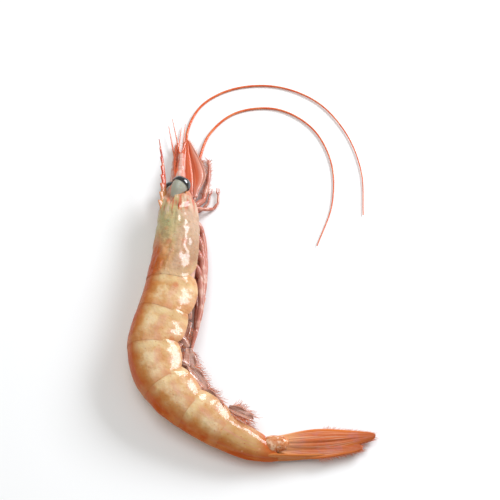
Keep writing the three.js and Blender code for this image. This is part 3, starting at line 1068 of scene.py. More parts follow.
def tube(name: str, points: Sequence[Vector], radii: Sequence[float], sides: int,
         flat: float = 1.0) -> Piece:
    """Models a tube through points, closed at both ends.

    Args:
        name: The piece's name.
        points: The points of its middle line in metres.
        radii: A radius in millimetres at each point.
        sides: How many sides it has.
        flat: How wide it is for its height.

    Returns:
        The tube.
    """
    last = len(points) - 1
    thick = UP.copy()
    axes = []
    for i in range(last + 1):
        ahead = (points[min(i + 1, last)] - points[max(i - 1, 0)]).normalized()
        wide = ahead.cross(thick)
        if wide.length < 0.2:
            wide = ahead.cross(Vector((1, 0, 0)))
        wide.normalize()
        thick = wide.cross(ahead).normalized()
        axes.append((thick, wide))

    def point(t: float, angle: float) -> Vector:
        """Gives a point of the ring round the middle line's nearest point.

        Args:
            t: Share of the way along the middle line.
            angle: Angle from the top of the ring.

        Returns:
            The point.
        """
        i = round(t * last)
        over, beside = axes[i]
        return points[i] + (over * math.cos(angle) + beside * math.sin(angle) * flat) * radii[i] * MM

    return loft(name, sides, last, point)


def limb(name: str, joints: Sequence[Vector], radii: Sequence[float], sides: int, swell: float = 0.22,
         per_article: int = 6) -> Piece:
    """Models a jointed limb: each article swells a little between two narrow joints.

    Args:
        name: The piece's name.
        joints: Its joints in metres, from the root to the tip.
        radii: A radius in millimetres at each joint.
        sides: How many sides it has.
        swell: How much thicker the middle of an article is.
        per_article: Rings on each article.

    Returns:
        The limb.
    """
    points, sizes = [], []
    for i, (start, end) in enumerate(zip(joints, joints[1:])):
        for k in range(per_article + (i == len(joints) - 2)):
            t = k / per_article
            points.append(start.lerp(end, t))
            sizes.append(mix(radii[i], radii[i + 1], t) * (1 + swell * math.sin(math.pi * t) ** 0.6))
    sizes[0] *= 0.7  # a limb is narrower where it leaves the body
    points.append(points[-1] + (joints[-1] - joints[-2]).normalized() * radii[-1] * 0.6 * MM)
    sizes.append(radii[-1] * 0.35)
    return tube(name, points, sizes, sides)


@dataclass(frozen=True)
class Rib:
    """A ridge or groove that runs lengthwise on a blade: its place across, height and spread."""

    across: float
    height: float
    spread: float


@dataclass(frozen=True)
class Blade:
    """A thin leaf-shaped plate from a root to a tip, in metres, with its other sizes in millimetres."""

    root: Vector
    tip: Vector
    side: Vector
    hand: Side  # on the left of the animal it cups, bows and ribs the other way
    width: float
    outline: Callable[[float], float]
    thickness: float
    cup: float
    ribs: tuple[Rib, ...]
    bow: float = 0.0
    fade: float = 0.5  # where the ribs begin to die out
    ripple: float = 0.0
    columns: int = 16
    rows: int = 30
    floor: float = 0.4  # the least height of its middle face over the ground
    last_hair: float = 0.99  # share of the length where its hairs end

    def axes(self) -> tuple[Vector, Vector, Vector]:
        """Gives the blade's directions: along, across and through.

        Returns:
            The three unit vectors.
        """
        along = (self.tip - self.root).normalized()
        across = (self.side - along * self.side.dot(along)).normalized()
        return along, across, along.cross(across)

    def point(self, share: float, t: float) -> Vector:
        """Gives a point of the blade's middle face.

        Args:
            share: From -1 at one edge to 1 at the other.
            t: From 0 at the root to 1 at the tip.

        Returns:
            The point in metres.
        """
        _, across, through = self.axes()
        wide = self.outline(t)
        height = self.bow * 4 * t * (1 - t) - self.cup * share * share * wide
        for rib in self.ribs:
            height += rib.height * hump(share, rib.across, rib.spread) * (1 - smooth(self.fade, 1.0, t))
        height = self.hand * height + self.ripple * math.sin(share * 5 + t * 9) * abs(share)
        beside = self.width / 2 * wide * share
        spot = self.root.lerp(self.tip, t) + (across * beside + through * height) * MM
        spot.z = max(spot.z, self.floor * MM)
        return spot

    def build(self, name: str) -> Piece:
        """Models the blade as a thin wall with round edges."""
        piece = sheet(name, self.columns, self.rows, lambda share, t: (self.point(share, t), share, t))
        return smoothed(thickened(piece, self.thickness))

    def edge(self, first: float, count: int) -> Roots:
        """Gives this many hair roots along each edge, from a share of the length on towards the tip.

        Args:
            first: Share of the length where the hairs begin.
            count: Hairs along each edge.

        Returns:
            Where each hair stands, and which way it points.
        """
        along, across, _ = self.axes()
        roots = []
        for edge in (-1, 1):
            for k in range(count):
                t = mix(first, self.last_hair, (k + 0.5) / count)
                lean = smooth(0.55, 1.0, t)
                outward = across * edge * (1 - 0.75 * lean) + along * (0.55 + 1.2 * lean)
                roots.append((self.point(edge * 0.9, t), outward.normalized()))
        return roots


def bristles(name: str, roots: Roots, length: float, radius: float, bend: float = 0.3,
             uneven: float = 0.35) -> Piece:
    """Models fine hairs in one piece: a single curved hair is modelled, copied to each root and joined.

    Args:
        name: The piece's name.
        roots: Where each hair stands in metres, and which way it points.
        length: A full hair's length.
        radius: Its radius at the root.
        bend: How far its tip bends aside, as a share of its length.
        uneven: How much the lengths differ.

    Returns:
        The joined hairs.
    """
    rng = random.Random(f"{name}{SEED}")

    def point(t: float, angle: float) -> Vector:
        """Gives a point of a hair of unit length and radius along Z, thinner towards its tip.

        Args:
            t: Share of the way from the root to the tip.
            angle: Angle round the hair.

        Returns:
            The point.
        """
        thick = 1 - 0.7 * t
        aside = bend * length / radius * t * t
        return Vector((math.cos(angle) * thick + aside, math.sin(angle) * thick, t))

    hair = loft(name, 3, 3, point)
    hairs = []
    for root, outward in roots:
        copy = hair.copy()
        copy.data = hair.data.copy()
        bpy.context.scene.collection.objects.link(copy)
        aim = outward + Vector([rng.uniform(-0.16, 0.16) for _ in range(3)])
        turn = aim.to_track_quat("Z", "X").to_matrix().to_4x4()
        height = length * (1 + uneven * rng.uniform(-1, 0.6))
        spin = Matrix.Rotation(rng.uniform(0, TURN), 4, "Z")
        size = Matrix.Diagonal((radius * MM, radius * MM, height * MM, 1))
        copy.matrix_world = Matrix.Translation(root) @ turn @ spin @ size
        hairs.append(copy)
    bpy.data.objects.remove(hair)
    piece = joined(name, hairs)
    bpy.ops.object.transform_apply(location=True, rotation=True, scale=True)
    return piece


def round_tip(t: float, power: int) -> float:
    """Is 1 along most of a blade and falls to 0 at its tip, later for a higher power."""
    return max(1 - t**power, 0.0) ** 0.5


def oval(t: float) -> float:
    """Share of full width along a swimming blade: narrow at the root, broad past the middle, round tip."""
    return mix(0.5, 1.0, smooth(-0.05, 0.42, t)) * (1 - 0.22 * t) * round_tip(t, 7)


def leaf(t: float) -> float:
    """Share of full width along a fan blade: broad in the middle, then narrowing to a blunt point."""
    return mix(0.45, 1.0, smooth(-0.05, 0.45, t)) * (1 - 0.45 * smooth(0.45, 1.0, t)) * round_tip(t, 6)


def teardrop(t: float) -> float:
    """Share of full width along an antennal scale: broad early, then narrowing to a rounded point."""
    return mix(0.3, 1.0, smooth(0.0, 0.36, t)) * (1 - 0.62 * smooth(0.36, 1.0, t)) * round_tip(t, 6)


# ---------------------------------------------------------------------------- shells


def crumpled(spot: Vector, depth: float, fine: float, fine_size: float) -> float:
    """Gives the height of an uneven surface: broad dents, and finer ones that are a share as deep."""
    return depth * (noise.noise(spot / 4.0) + fine * noise.noise(spot / fine_size))


@dataclass
class HeadShell:
    """The carapace and the toothed rostrum in front of it."""

    spine: Spine
    columns: int = 110
    rows: int = 84
    thickness: float = 0.1
    lift: float = 0.1
    hind_drop: float = 0.08  # how much closer the hind edge lies
    rim_drop: float = 0.5
    reach: float = 0.96  # how far down the flanks it goes, as a share of the tail shells
    lip_curl: float = 0.8  # how far the front edge bends in towards the face
    front_edge: float = 4.4  # how far behind the eye the front edge starts
    eye_notch: float = 3.8  # how far it is cut back beside the eye
    eye_point: float = 2.8  # how far the point below the eye stands forward
    brow_point: float = 1.8  # how far the front edge runs forward under the rostrum
    front_cut: float = 3.5  # how far the front edge is cut back at the lower corner
    hind_cut: float = 4.5
    corner: float = 0.72  # share of the girth where both edges begin to round off
    crest_height: float = 0.35
    groove_depth: float = 0.34
    ridge_height: float = 0.16
    cheek_swell: float = 0.3
    hind_groove: float = 0.08
    crumple: float = 0.32
    rostrum_length: float = 14.0
    rostrum_root: float = 15.0
    rostrum_height: float = 1.9
    rostrum_rise: float = 4.8
    rostrum_thickness: float = 1.0
    teeth: int = 7
    tooth_height: float = 0.85
    teeth_start: float = 0.12  # where the first tooth begins, as a share of the blade's length
    teeth_end: float = 0.9
    tooth_peak: float = 0.86  # where a tooth is highest, as a share of its own length
    rostrum_root_depth: float = 1.5  # how far its root reaches into the head

    # Place of the root along the spine, share of the girth, length and root radius of the paired spines.
    SPINES = {
        "antennal_spine": (5.0, 0.38, 4.2, 0.5),
        "hepatic_spine": (13.5, 0.47, 3.4, 0.45),
        "cheek_spine": (6.4, 0.66, 3.0, 0.4),
    }

    def make(self) -> None:
        """Models and dresses the carapace, the rostrum and the spines."""
        carapace = sheet("carapace", self.columns, self.rows, self._shape)
        thickened(carapace, self.thickness, self.spine.place(CARAPACE / 2, 0, 0))
        dress(smoothed(carapace), CARAPACE_SHELL)
        dress(smoothed(self._rostrum()), ROSTRUM_SHELL)
        for side in Side:
            for name, (at, share, length, radius) in self.SPINES.items():
                spine = self._spine(f"{name}_{side.label}", at, side * share, length, radius)
                dress(spine, ROSTRUM_SHELL)

    def _spine(self, name: str, at: float, share: float, length: float, radius: float) -> Piece:
        """Models a spine that stands on the carapace and points forwards."""
        points = [self.spine.shell(at - length * t, share, -0.35 + 0.75 * t**0.6, 0)
                  for t in (0, 0.3, 0.65, 1)]
        return tube(name, points, [radius, radius * 0.8, radius * 0.45, 0.05], 10)

    def _cut(self, t: float) -> float:
        """Is 0 down to the lower corner, and grows to 1 at the rim."""
        return max(0.0, (t - self.corner) / (1 - self.corner)) ** 2

    def _front(self, t: float) -> float:
        """Front edge: an eye notch, then the antennal spine, then a cut back towards the mouth.

        Args:
            t: Share of the girth, from 0 on the back to 1 at the rim.

        Returns:
            The edge's place along the spine.
        """
        back = self.eye_notch * hump(t, 0.25, 0.12) + self.front_cut * self._cut(t)
        ahead = self.eye_point * hump(t, 0.4, 0.035) + self.brow_point * hump(t, 0.0, 0.05)
        return self.front_edge + back - ahead

    def _hind(self, t: float) -> float:
        """Hind edge: nearly straight over the back, rounded forward at the lower corner."""
        return CARAPACE + 0.4 - 0.8 * t * t - self.hind_cut * self._cut(t)

    def _shape(self, share: float, v: float) -> tuple[Vector, float, float]:
        """Gives a point of the carapace and its guides.

        Args:
            share: From -1 at the left rim to 1 at the right rim.
            v: From 0 at the front edge to 1 at the hind edge.

        Returns:
            The point, its share of the girth and its share of the length.
        """
        t = abs(share)
        at = mix(self._front(t), self._hind(t), v)
        lift = self.lift - self.hind_drop * v**4
        lift -= self.groove_depth * hump(at, 17.5 - 9.5 * t, 1.1) * plateau(t, 0.1, 0.25, 0.75, 0.9)
        lift += self.ridge_height * hump(t, 0.47, 0.035) * plateau(at, 9, 13, 31, 35)
        lift += self.cheek_swell * hump(t, 0.66, 0.17) * plateau(at, 11, 20, 30, 36)
        lift -= self.hind_groove * hump(at, 34.2, 0.8)
        lift -= self.lip_curl * (1 - smooth(0.0, 0.09, v))
        uneven = crumpled(Vector((at * 0.6, share * 14, SEED)), self.crumple, 0.7, 1.3)
        lift += uneven * smooth(0.0, 4.0, CARAPACE - at)
        keel = self.crest_height * (1 - 0.7 * smooth(7, 30, at))
        return self.spine.shell(at, share * self.reach, lift, self.rim_drop * (1 - 0.6 * v**4), keel), t, v

    def _axis(self, t: float) -> float:
        """Height of the blade's middle line from root to tip: it bends up towards the tip."""
        return self.rostrum_rise * t**2.4

    def _top(self, t: float) -> float:
        """Height of the toothed top edge.

        Args:
            t: Share of the way from the root to the tip.

        Returns:
            The height over the blade's base line.
        """
        valley = self._axis(t) + 0.12 + 0.62 * self.rostrum_height * (1 - t) ** 0.8 * min(1.0, 6 * t)
        pitch = (self.teeth_end - self.teeth_start) / self.teeth
        number = (t - self.teeth_start) / pitch
        if not 0 <= number < self.teeth:
            return valley
        through = number - math.floor(number)
        if through < self.tooth_peak:
            rise = smooth(0.0, self.tooth_peak, through) ** 1.3
        else:
            rise = 1 - smooth(self.tooth_peak, 0.99, through)
        return valley + self.tooth_height * (1.25 - t) * rise

    def _bottom(self, t: float) -> float:
        """Height of the bottom edge, which closes in on the middle line towards the tip."""
        return self._axis(t) - mix(self.rostrum_root_depth, 0.12, smooth(0.1, 1.0, t) ** 0.8)

    def _rostrum(self) -> Piece:
        """Models the blade as a loft with a lens-shaped section.

        Returns:
            The blade, not yet smoothed.
        """
        here = self.spine.station(0)
        start = self.spine.place(self.rostrum_root, self.spine.half("depth", self.rostrum_root), 0)
        front = self.spine.place(0, self.spine.half("depth", 0) + 1.1, 0)
        slope = math.atan2((front - start).dot(here.back) / MM, self.rostrum_root)
        ahead = here.back * math.sin(slope) - here.tail * math.cos(slope)
        upward = here.back * math.cos(slope) + here.tail * math.sin(slope)
        span = self.rostrum_length + self.rostrum_root

        def point(t: float, angle: float) -> Vector:
            """Gives a point at a share of the way to the tip.

            Args:
                t: Share of the way from the root to the tip.
                angle: Angle from the top edge.

            Returns:
                The point.
            """
            c, s = math.cos(angle), math.sin(angle)
            low, high = self._bottom(t), self._top(t)
            middle = (low + self._axis(t)) / 2
            height = middle + c * (high - middle if c > 0 else middle - low)
            sideways = self.rostrum_thickness / 2 * (1 - 0.75 * t**3) * s * (0.55 + 0.45 * abs(s))
            return start + (ahead * span * t + upward * height + here.right * sideways) * MM

        return loft("rostrum", 10, 120, point)


@dataclass
class Abdomen:
    """Six overlapping shells round the tail meat, each with a lobe down both flanks."""

    spine: Spine
    columns: int = 72
    rows: int = 26
    thickness: float = 0.08
    tuck: float = 2.2  # how far a shell reaches under the one before it
    tuck_depth: float = 0.07
    overlap: float = 0.5  # how far it reaches over the one behind it
    last_overlap: float = 0.2
    flare: float = 0.01
    last_flare: float = 0.1
    lobe: float = 2.3
    last_lobe: float = 0.5
    keel_height: float = 0.7
    first_keeled: int = 3
    hinge_dent: float = 0.05  # depth of the line behind a shell's front edge
    hinge_knob: float = 0.2  # height of the hinge on each flank
    rim_round: float = 0.9  # how much shorter a shell is at its rims
    last_cut: float = 3.6  # how far the last shell's hind edge is cut back down its flanks
    end_taper: float = 0.9  # how far the last shell draws in round the root of the fan
    crumple: float = 0.16
    meat_inset: float = 0.75
    meat_recess: float = 1.1  # how far the belly draws in between the flanks
    meat_ridge: float = 0.55
    meat_ridge_pitch: float = 5.5
    meat_start: float = -4.4

    def make(self) -> None:
        """Models and dresses the shells and the meat."""
        start = CARAPACE
        for number, length in enumerate(SOMITES):
            shell = sheet(f"tail_shell_{number + 1}", self.columns, self.rows,
                          partial(self._shape, start, number))
            thickened(shell, self.thickness, self.spine.place(start + length / 2, 0, 0))
            dress(smoothed(shell), LAST_SHELL if number == LAST else ABDOMEN_SHELL)
            start += length
        dress(smoothed(self._meat()), MEAT)

    def _shape(self, start: float, number: int, share: float, v: float) -> tuple[Vector, float, float]:
        """Gives a point of a shell and its guides.

        Args:
            start: Where the shell begins along the spine.
            number: Its number, from 0.
            share: From -1 at the left rim to 1 at the right rim.
            v: From 0 at the front edge to 1 at the hind edge.

        Returns:
            The point, its share of the girth and its share of the length.
        """
        t = abs(share)
        last = number == LAST
        length = SOMITES[number]
        at = mix(start - self.tuck, start + length + (self.last_overlap if last else self.overlap), v)
        through = min(max((at - start) / length, 0.0), 1.0)
        lift = mix(-self.tuck_depth, self.last_flare if last else self.flare, smooth(0.0, 1.0, through))
        lift -= self.hinge_dent * hump(at, start + 2.6, 0.8) * (1 - smooth(0.7, 0.9, t))
        lift += self.hinge_knob * hump(at, start + 0.5, 1.0) * hump(t, 0.8, 0.05)
        uneven = crumpled(Vector((at, share * 12, SEED)), self.crumple, 0.4, 1.6)
        lift += uneven * smooth(0.0, 4.0, at - CARAPACE)
        drop = self.last_lobe if last else self.lobe * math.sin(math.pi * min(max(v, 0.02), 0.98)) ** 0.5
        keel = self.keel_height if number >= self.first_keeled else 0.0
        if number == self.first_keeled:
            keel *= smooth(0.0, 0.5, through)
        at -= self.rim_round * smooth(0.72, 1.0, t) * (v - 0.5)
        if last:
            at -= self.last_cut * smooth(0.3, 1.0, t) * v**3
            lift -= self.end_taper * v**5
        return self.spine.shell(at, share, lift, drop, keel), t, through

    def _meat(self) -> Piece:
        """Models what shows between the shells: belly, joints and the front of the head.

        Returns:
            The meat, not yet smoothed.
        """
        spine = self.spine
        power = 2 / spine.squareness

        def point(t: float, angle: float) -> Vector:
            """Gives a point at a share of the way from the face to the fan.

            Args:
                t: Share of the way from the face to the fan.
                angle: Angle from the back.

            Returns:
                The point.
            """
            at = mix(self.meat_start, TRUNK + 0.8, t)
            ends = (0.62 + 0.38 * smooth(-4.0, 6.0, at)) * smooth(-7.0, -2.5, at)
            ends *= 1 - 0.75 * smooth(TRUNK - 4, TRUNK + 1.5, at)
            ridge = self.meat_ridge * math.sin(TURN * at / self.meat_ridge_pitch) if at > CARAPACE else 0.0
            c, s = math.cos(angle), math.sin(angle)
            back = (spine.half("depth", at) - self.meat_inset) * signed_power(c, power)
            back += (self.meat_recess + ridge) * hump(angle, math.pi, 0.45)
            right = (spine.half("width", at) - self.meat_inset) * signed_power(s, power)
            return spine.place(at, back * ends, right * (1 - spine.back_taper * c) * ends, 0.3)

        return loft("meat", 32, 110, point)


# ---------------------------------------------------------------------------- tail fan


@dataclass
class TailFan:
    """The telson and the two blades on each side of it, lying on each other like a shut umbrella."""

    spine: Spine
    start: float = TRUNK - 3
    telson_length: float = 20.0
    telson_width: float = 4.4
    telson_thickness: float = 1.5
    groove: float = 0.45

    # The stump that carries a side's blades: places that count from the start of the fan, and radii.
    BASE = ((-1.5, -0.4, 0.9), (1.4, -0.6, 1.4), (3.0, -0.9, 1.6), (4.4, -1.0, 1.9), (6.4, -1.6, 1.7))
    BASE_RADII = (1.3, 2.0, 1.6, 1.7, 0.5)

    def make(self) -> None:
        """Models and dresses the telson, blades and fringes."""
        dress(smoothed(self._telson()), TELSON_SHELL)
        roots = []
        for side in Side:
            for name, blade in self._blades(side).items():
                dress(blade.build(f"fan_{side.label}_{name}"), FAN_SHELL)
                roots += blade.edge(0.5, 62)
            points = [self.spine.place(self.start + at, back, side * out) for at, back, out in self.BASE]
            base = tube(f"fan_base_{side.label}", points, self.BASE_RADII, 16, 1.4)
            dress(smoothed(base), FAN_BASE_SHELL)
        dress(bristles("fan_fringe", roots, 1.35, 0.06), FRINGE)

    def _blades(self, side: Side) -> dict[str, Blade]:
        """Gives a side's inner blade, and its outer one, which has a stout outer edge and more ribs.

        Args:
            side: The side of the animal.

        Returns:
            The blades by name.
        """
        across = self.spine.station(self.start + 10).back
        inner = Blade(
            root=self.spine.place(self.start + 1, -0.2, side * 0.8),
            tip=self.spine.place(self.start + FAN - 1, 0.8, side * 0.35, 0.7),
            side=across, hand=side, width=6.8, outline=leaf, thickness=0.5, cup=-0.4,
            ribs=(Rib(0.0, -0.35, 0.12), Rib(0.45, -0.12, 0.1)))
        outer = Blade(
            root=self.spine.place(self.start + 1, -0.9, side * 1.9),
            tip=self.spine.place(self.start + FAN + 3, -2.3, side * 0.8, 0.7),
            side=across, hand=side, width=7.2, outline=leaf, thickness=0.5, cup=-1.1,
            ribs=(Rib(0.1, -0.5, 0.09), Rib(-0.25, -0.32, 0.08), Rib(0.5, -0.3, 0.1),
                  Rib(-0.86, -0.3, 0.12)),
            bow=0.3, ripple=0.1, columns=22, rows=36)
        return {"inner": inner, "outer": outer}

    def _telson(self) -> Piece:
        """Models the pointed middle piece, with a groove down its back.

        Returns:
            The telson, not yet smoothed.
        """

        def point(t: float, angle: float) -> Vector:
            """Gives a point at a share of the way to the tip.

            Args:
                t: Share of the way from the root to the tip.
                angle: Angle from the top.

            Returns:
                The point.
            """
            share = (1 - 0.9 * t**1.5) * (0.75 + 0.25 * smooth(0, 0.12, t))
            groove = self.groove * hump(min(angle, TURN - angle), 0, 0.35) * (1 - t)
            back = mix(2.9, 2.0, t**0.7) + self.telson_thickness / 2 * math.cos(angle) * share**0.6 - groove
            right = self.telson_width / 2 * math.sin(angle) * share
            return self.spine.place(self.start + self.telson_length * t, back, right)

        return loft("telson", 16, 30, point)


# ---------------------------------------------------------------------------- head parts


@dataclass
class Eyes:
    """Two black eyes on short pale stalks."""

    spine: Spine
    radius: float = 2.6

    # Middle of each cornea and root of each stalk, as places on the animal, and which way the eye looks.
    CORNEA = {Side.LEFT: (0.2, 0.6, -3.0), Side.RIGHT: (2.8, 2.3, 4.9)}
    ROOT = {Side.LEFT: (6.2, 1.4, -1.2), Side.RIGHT: (7.6, 2.9, 1.4)}
    GAZE = {Side.LEFT: (-0.84, 0.3, -0.4), Side.RIGHT: (-0.76, -0.42, 0.34)}
    CUP = (-0.9, -0.45, 0.05, 0.3)  # where the stalk's last rings lie, in radii before the ball's middle
    STALK_RADII = (1.3, 1.6, 2.1, 2.55, 2.65, 2.15)

    def make(self) -> None:
        """Models and dresses both eyes."""
        for side in Side:
            centre = self.spine.place(*self.CORNEA[side], self.radius + 0.1)
            root = self.spine.place(*self.ROOT[side])
            gaze = self.spine.direction(0, *self.GAZE[side])
            dress(self._stalk(side, root, centre, gaze), EYE_STALK)
            dress(self._cornea(side, centre, gaze), EYE)

    def _stalk(self, side: Side, root: Vector, centre: Vector, gaze: Vector) -> Piece:
        """Models the stalk, which widens into the cup that holds the eye.

        Args:
            side: The side of the animal.
            root: Where the stalk leaves the head, in metres.
            centre: The middle of the ball.
            gaze: Which way the eye looks.

        Returns:
            The stalk.
        """
        cup = [centre + gaze * k * self.radius * MM for k in self.CUP]
        points = [root, root.lerp(cup[0], 0.55), *cup]
        return smoothed(tube(f"eye_stalk_{side.label}", points, self.STALK_RADII, 16))

    def _cornea(self, side: Side, centre: Vector, gaze: Vector) -> Piece:
        """Models the cornea: a ball cut behind its middle, wide and a little flat, like a bean.

        Args:
            side: The side of the animal.
            centre: The middle of the ball in metres.
            gaze: Which way it looks.

        Returns:
            The cornea.
        """
        radius = self.radius * MM
        bpy.ops.object.select_all(action="DESELECT")
        bpy.ops.mesh.primitive_uv_sphere_add(segments=40, ring_count=24, radius=radius)
        piece = adopt(f"eye_{side.label}")
        with edit_mode():
            bpy.ops.mesh.select_all(action="SELECT")
            bpy.ops.mesh.bisect(plane_co=(0, 0, -0.15 * radius), plane_no=(0, 0, 1), clear_inner=True,
                                use_fill=True)
        plain = [0.0] * len(piece.data.vertices)
        keep_values(piece, plain, plain)
        turn = gaze.to_track_quat("Z", "Y").to_matrix()
        for vertex in piece.data.vertices:
            x, y, z = vertex.co
            dent = 0.12 * hump(x / radius, 0, 0.4) * max(z, 0)
            vertex.co = centre + turn @ Vector((x * 1.16, y * 1.02, z - dent))
        return piece


@dataclass
class Feelers:
    """What stands in front of the head: scales, short feelers, and the long whips with their stems."""

    spine: Spine
    scale_length: float = 20.5
    scale_width: float = 9.4
    scale_tilt: float = math.radians(52)
    stalk_length: float = 12.5
    stalk_radius: float = 1.55
    flagellum: float = 13.0
    flagellum_radii: tuple[float, float] = (0.3, 0.1)  # at the root and at the tip
    whip_radii: tuple[float, float] = (0.45, 0.16)
    whip_height: float = 0.45

    # Joints of a short feeler's stalk: share of its length behind the eye, and places back and out.
    STALK_JOINTS = ((0.08, 0.0, 1.2), (-0.45, -0.5, 1.35), (-0.75, -1.0, 1.5), (-1, -1.3, 1.5))
    STALK_TAPER = (1.05, 0.95, 0.8, 0.62)
    # Joints of a whip's stem: places along and back, and clearance over the floor.
    STEM_JOINTS = ((3, -4.2, 1.2), (-1.5, -5, 1.1), (-5.5, -5.2, 0.8))
    STEM_RADII = (1.4, 1.2, 0.75)
    # Points of each whip in plan that count from the eye in millimetres.
    WHIPS = {
        Side.LEFT: ((3, 12), (2.5, 23), (7, 33.5), (17, 40), (31, 41), (44, 35), (53, 23), (57.5, 8),
                    (57.5, -8)),
        Side.RIGHT: ((6, 10), (9.5, 22), (18, 30.5), (31, 32), (42, 25), (48, 12), (48, -4), (43, -19)),
    }

    def make(self) -> None:
        """Models and dresses every piece on both sides."""
        for side in Side:
            scale = self._scale(side)
            dress(scale.build(f"scale_{side.label}"), SCALE)
            fringe = bristles(f"scale_fringe_{side.label}", scale.edge(0.3, 70), 1.3, 0.05)
            dress(fringe, FRINGE)
            self._short_feelers(side)
            self._whip(side)

    def _scale(self, side: Side) -> Blade:
        """Gives the broad plate beside the mouth, its outer face up."""
        here = self.spine.station(0)
        return Blade(
            root=self.spine.place(4.5, -3.8, side * 2.6, 0.6),
            tip=self.spine.place(2.5 - self.scale_length, -2.8, side * 2.8, 0.6),
            side=here.back * math.sin(self.scale_tilt) - here.right * side * math.cos(self.scale_tilt),
            hand=side, width=self.scale_width, outline=teardrop, thickness=0.4, cup=-0.7,
            ribs=(Rib(-0.15, -0.4, 0.07), Rib(-0.88, -0.45, 0.12), Rib(0.35, -0.2, 0.08)),
            fade=0.75, ripple=0.12, columns=24, rows=36)

    def _stem(self, name: str, joints: Sequence[Vector], radii: Sequence[float], swell: float) -> None:
        """Models and dresses a stout jointed stem."""
        dress(smoothed(limb(name, joints, radii, 14, swell, 8)), STALK)

    def _thread(self, name: str, points: Sequence[Vector], steps: int, radii: tuple[float, float],
                sides: int) -> None:
        """Models and dresses a thread that thins evenly from its root to its tip."""
        sizes = [mix(*radii, k / steps) for k in range(steps + 1)]
        dress(tube(name, curved(points, steps), sizes, sides), WHIP)

    def _short_feelers(self, side: Side) -> None:
        """Models the three-jointed stalk between the eyes and its two short feelers.

        Args:
            side: The side of the animal.
        """
        length = self.stalk_length
        joints = [self.spine.place(reach * length, back, side * out)
                  for reach, back, out in self.STALK_JOINTS]
        radii = [self.stalk_radius * k for k in self.STALK_TAPER]
        self._stem(f"feeler_stalk_{side.label}", joints, radii, 0.14)
        for number, spread in enumerate((-1, 1)):
            points = []
            for t in (0, 0.35, 0.7, 1):
                back = -1.2 + spread * (0.4 + 2.2 * t) + side * 0.8 * t
                out = side * (1.4 + 0.6 * t)
                points.append(self.spine.place(0.8 - length - t * self.flagellum, back, out, 0.4))
            self._thread(f"feeler_{side.label}_{number + 1}", points, 40, self.flagellum_radii, 7)

    def _whip(self, side: Side) -> None:
        """Models a whip and the stout stem it grows from.

        Args:
            side: The side of the animal.
        """
        stem = [self.spine.place(at, back, side * 1.7, over) for at, back, over in self.STEM_JOINTS]
        self._stem(f"whip_stem_{side.label}", stem, self.STEM_RADII, 0.12)
        points = [stem[-1]]
        for number, (x, y) in enumerate(self.WHIPS[side], 1):
            fall = max(0.0, 1 - number / 3)
            spot = Vector((x * MM, y * MM, self.whip_height * MM + fall * fall * stem[-1].z))
            points.append(self.spine.eye + spot)
        self._thread(f"whip_{side.label}", points, 150, self.whip_radii, 8)


# ---------------------------------------------------------------------------- limbs


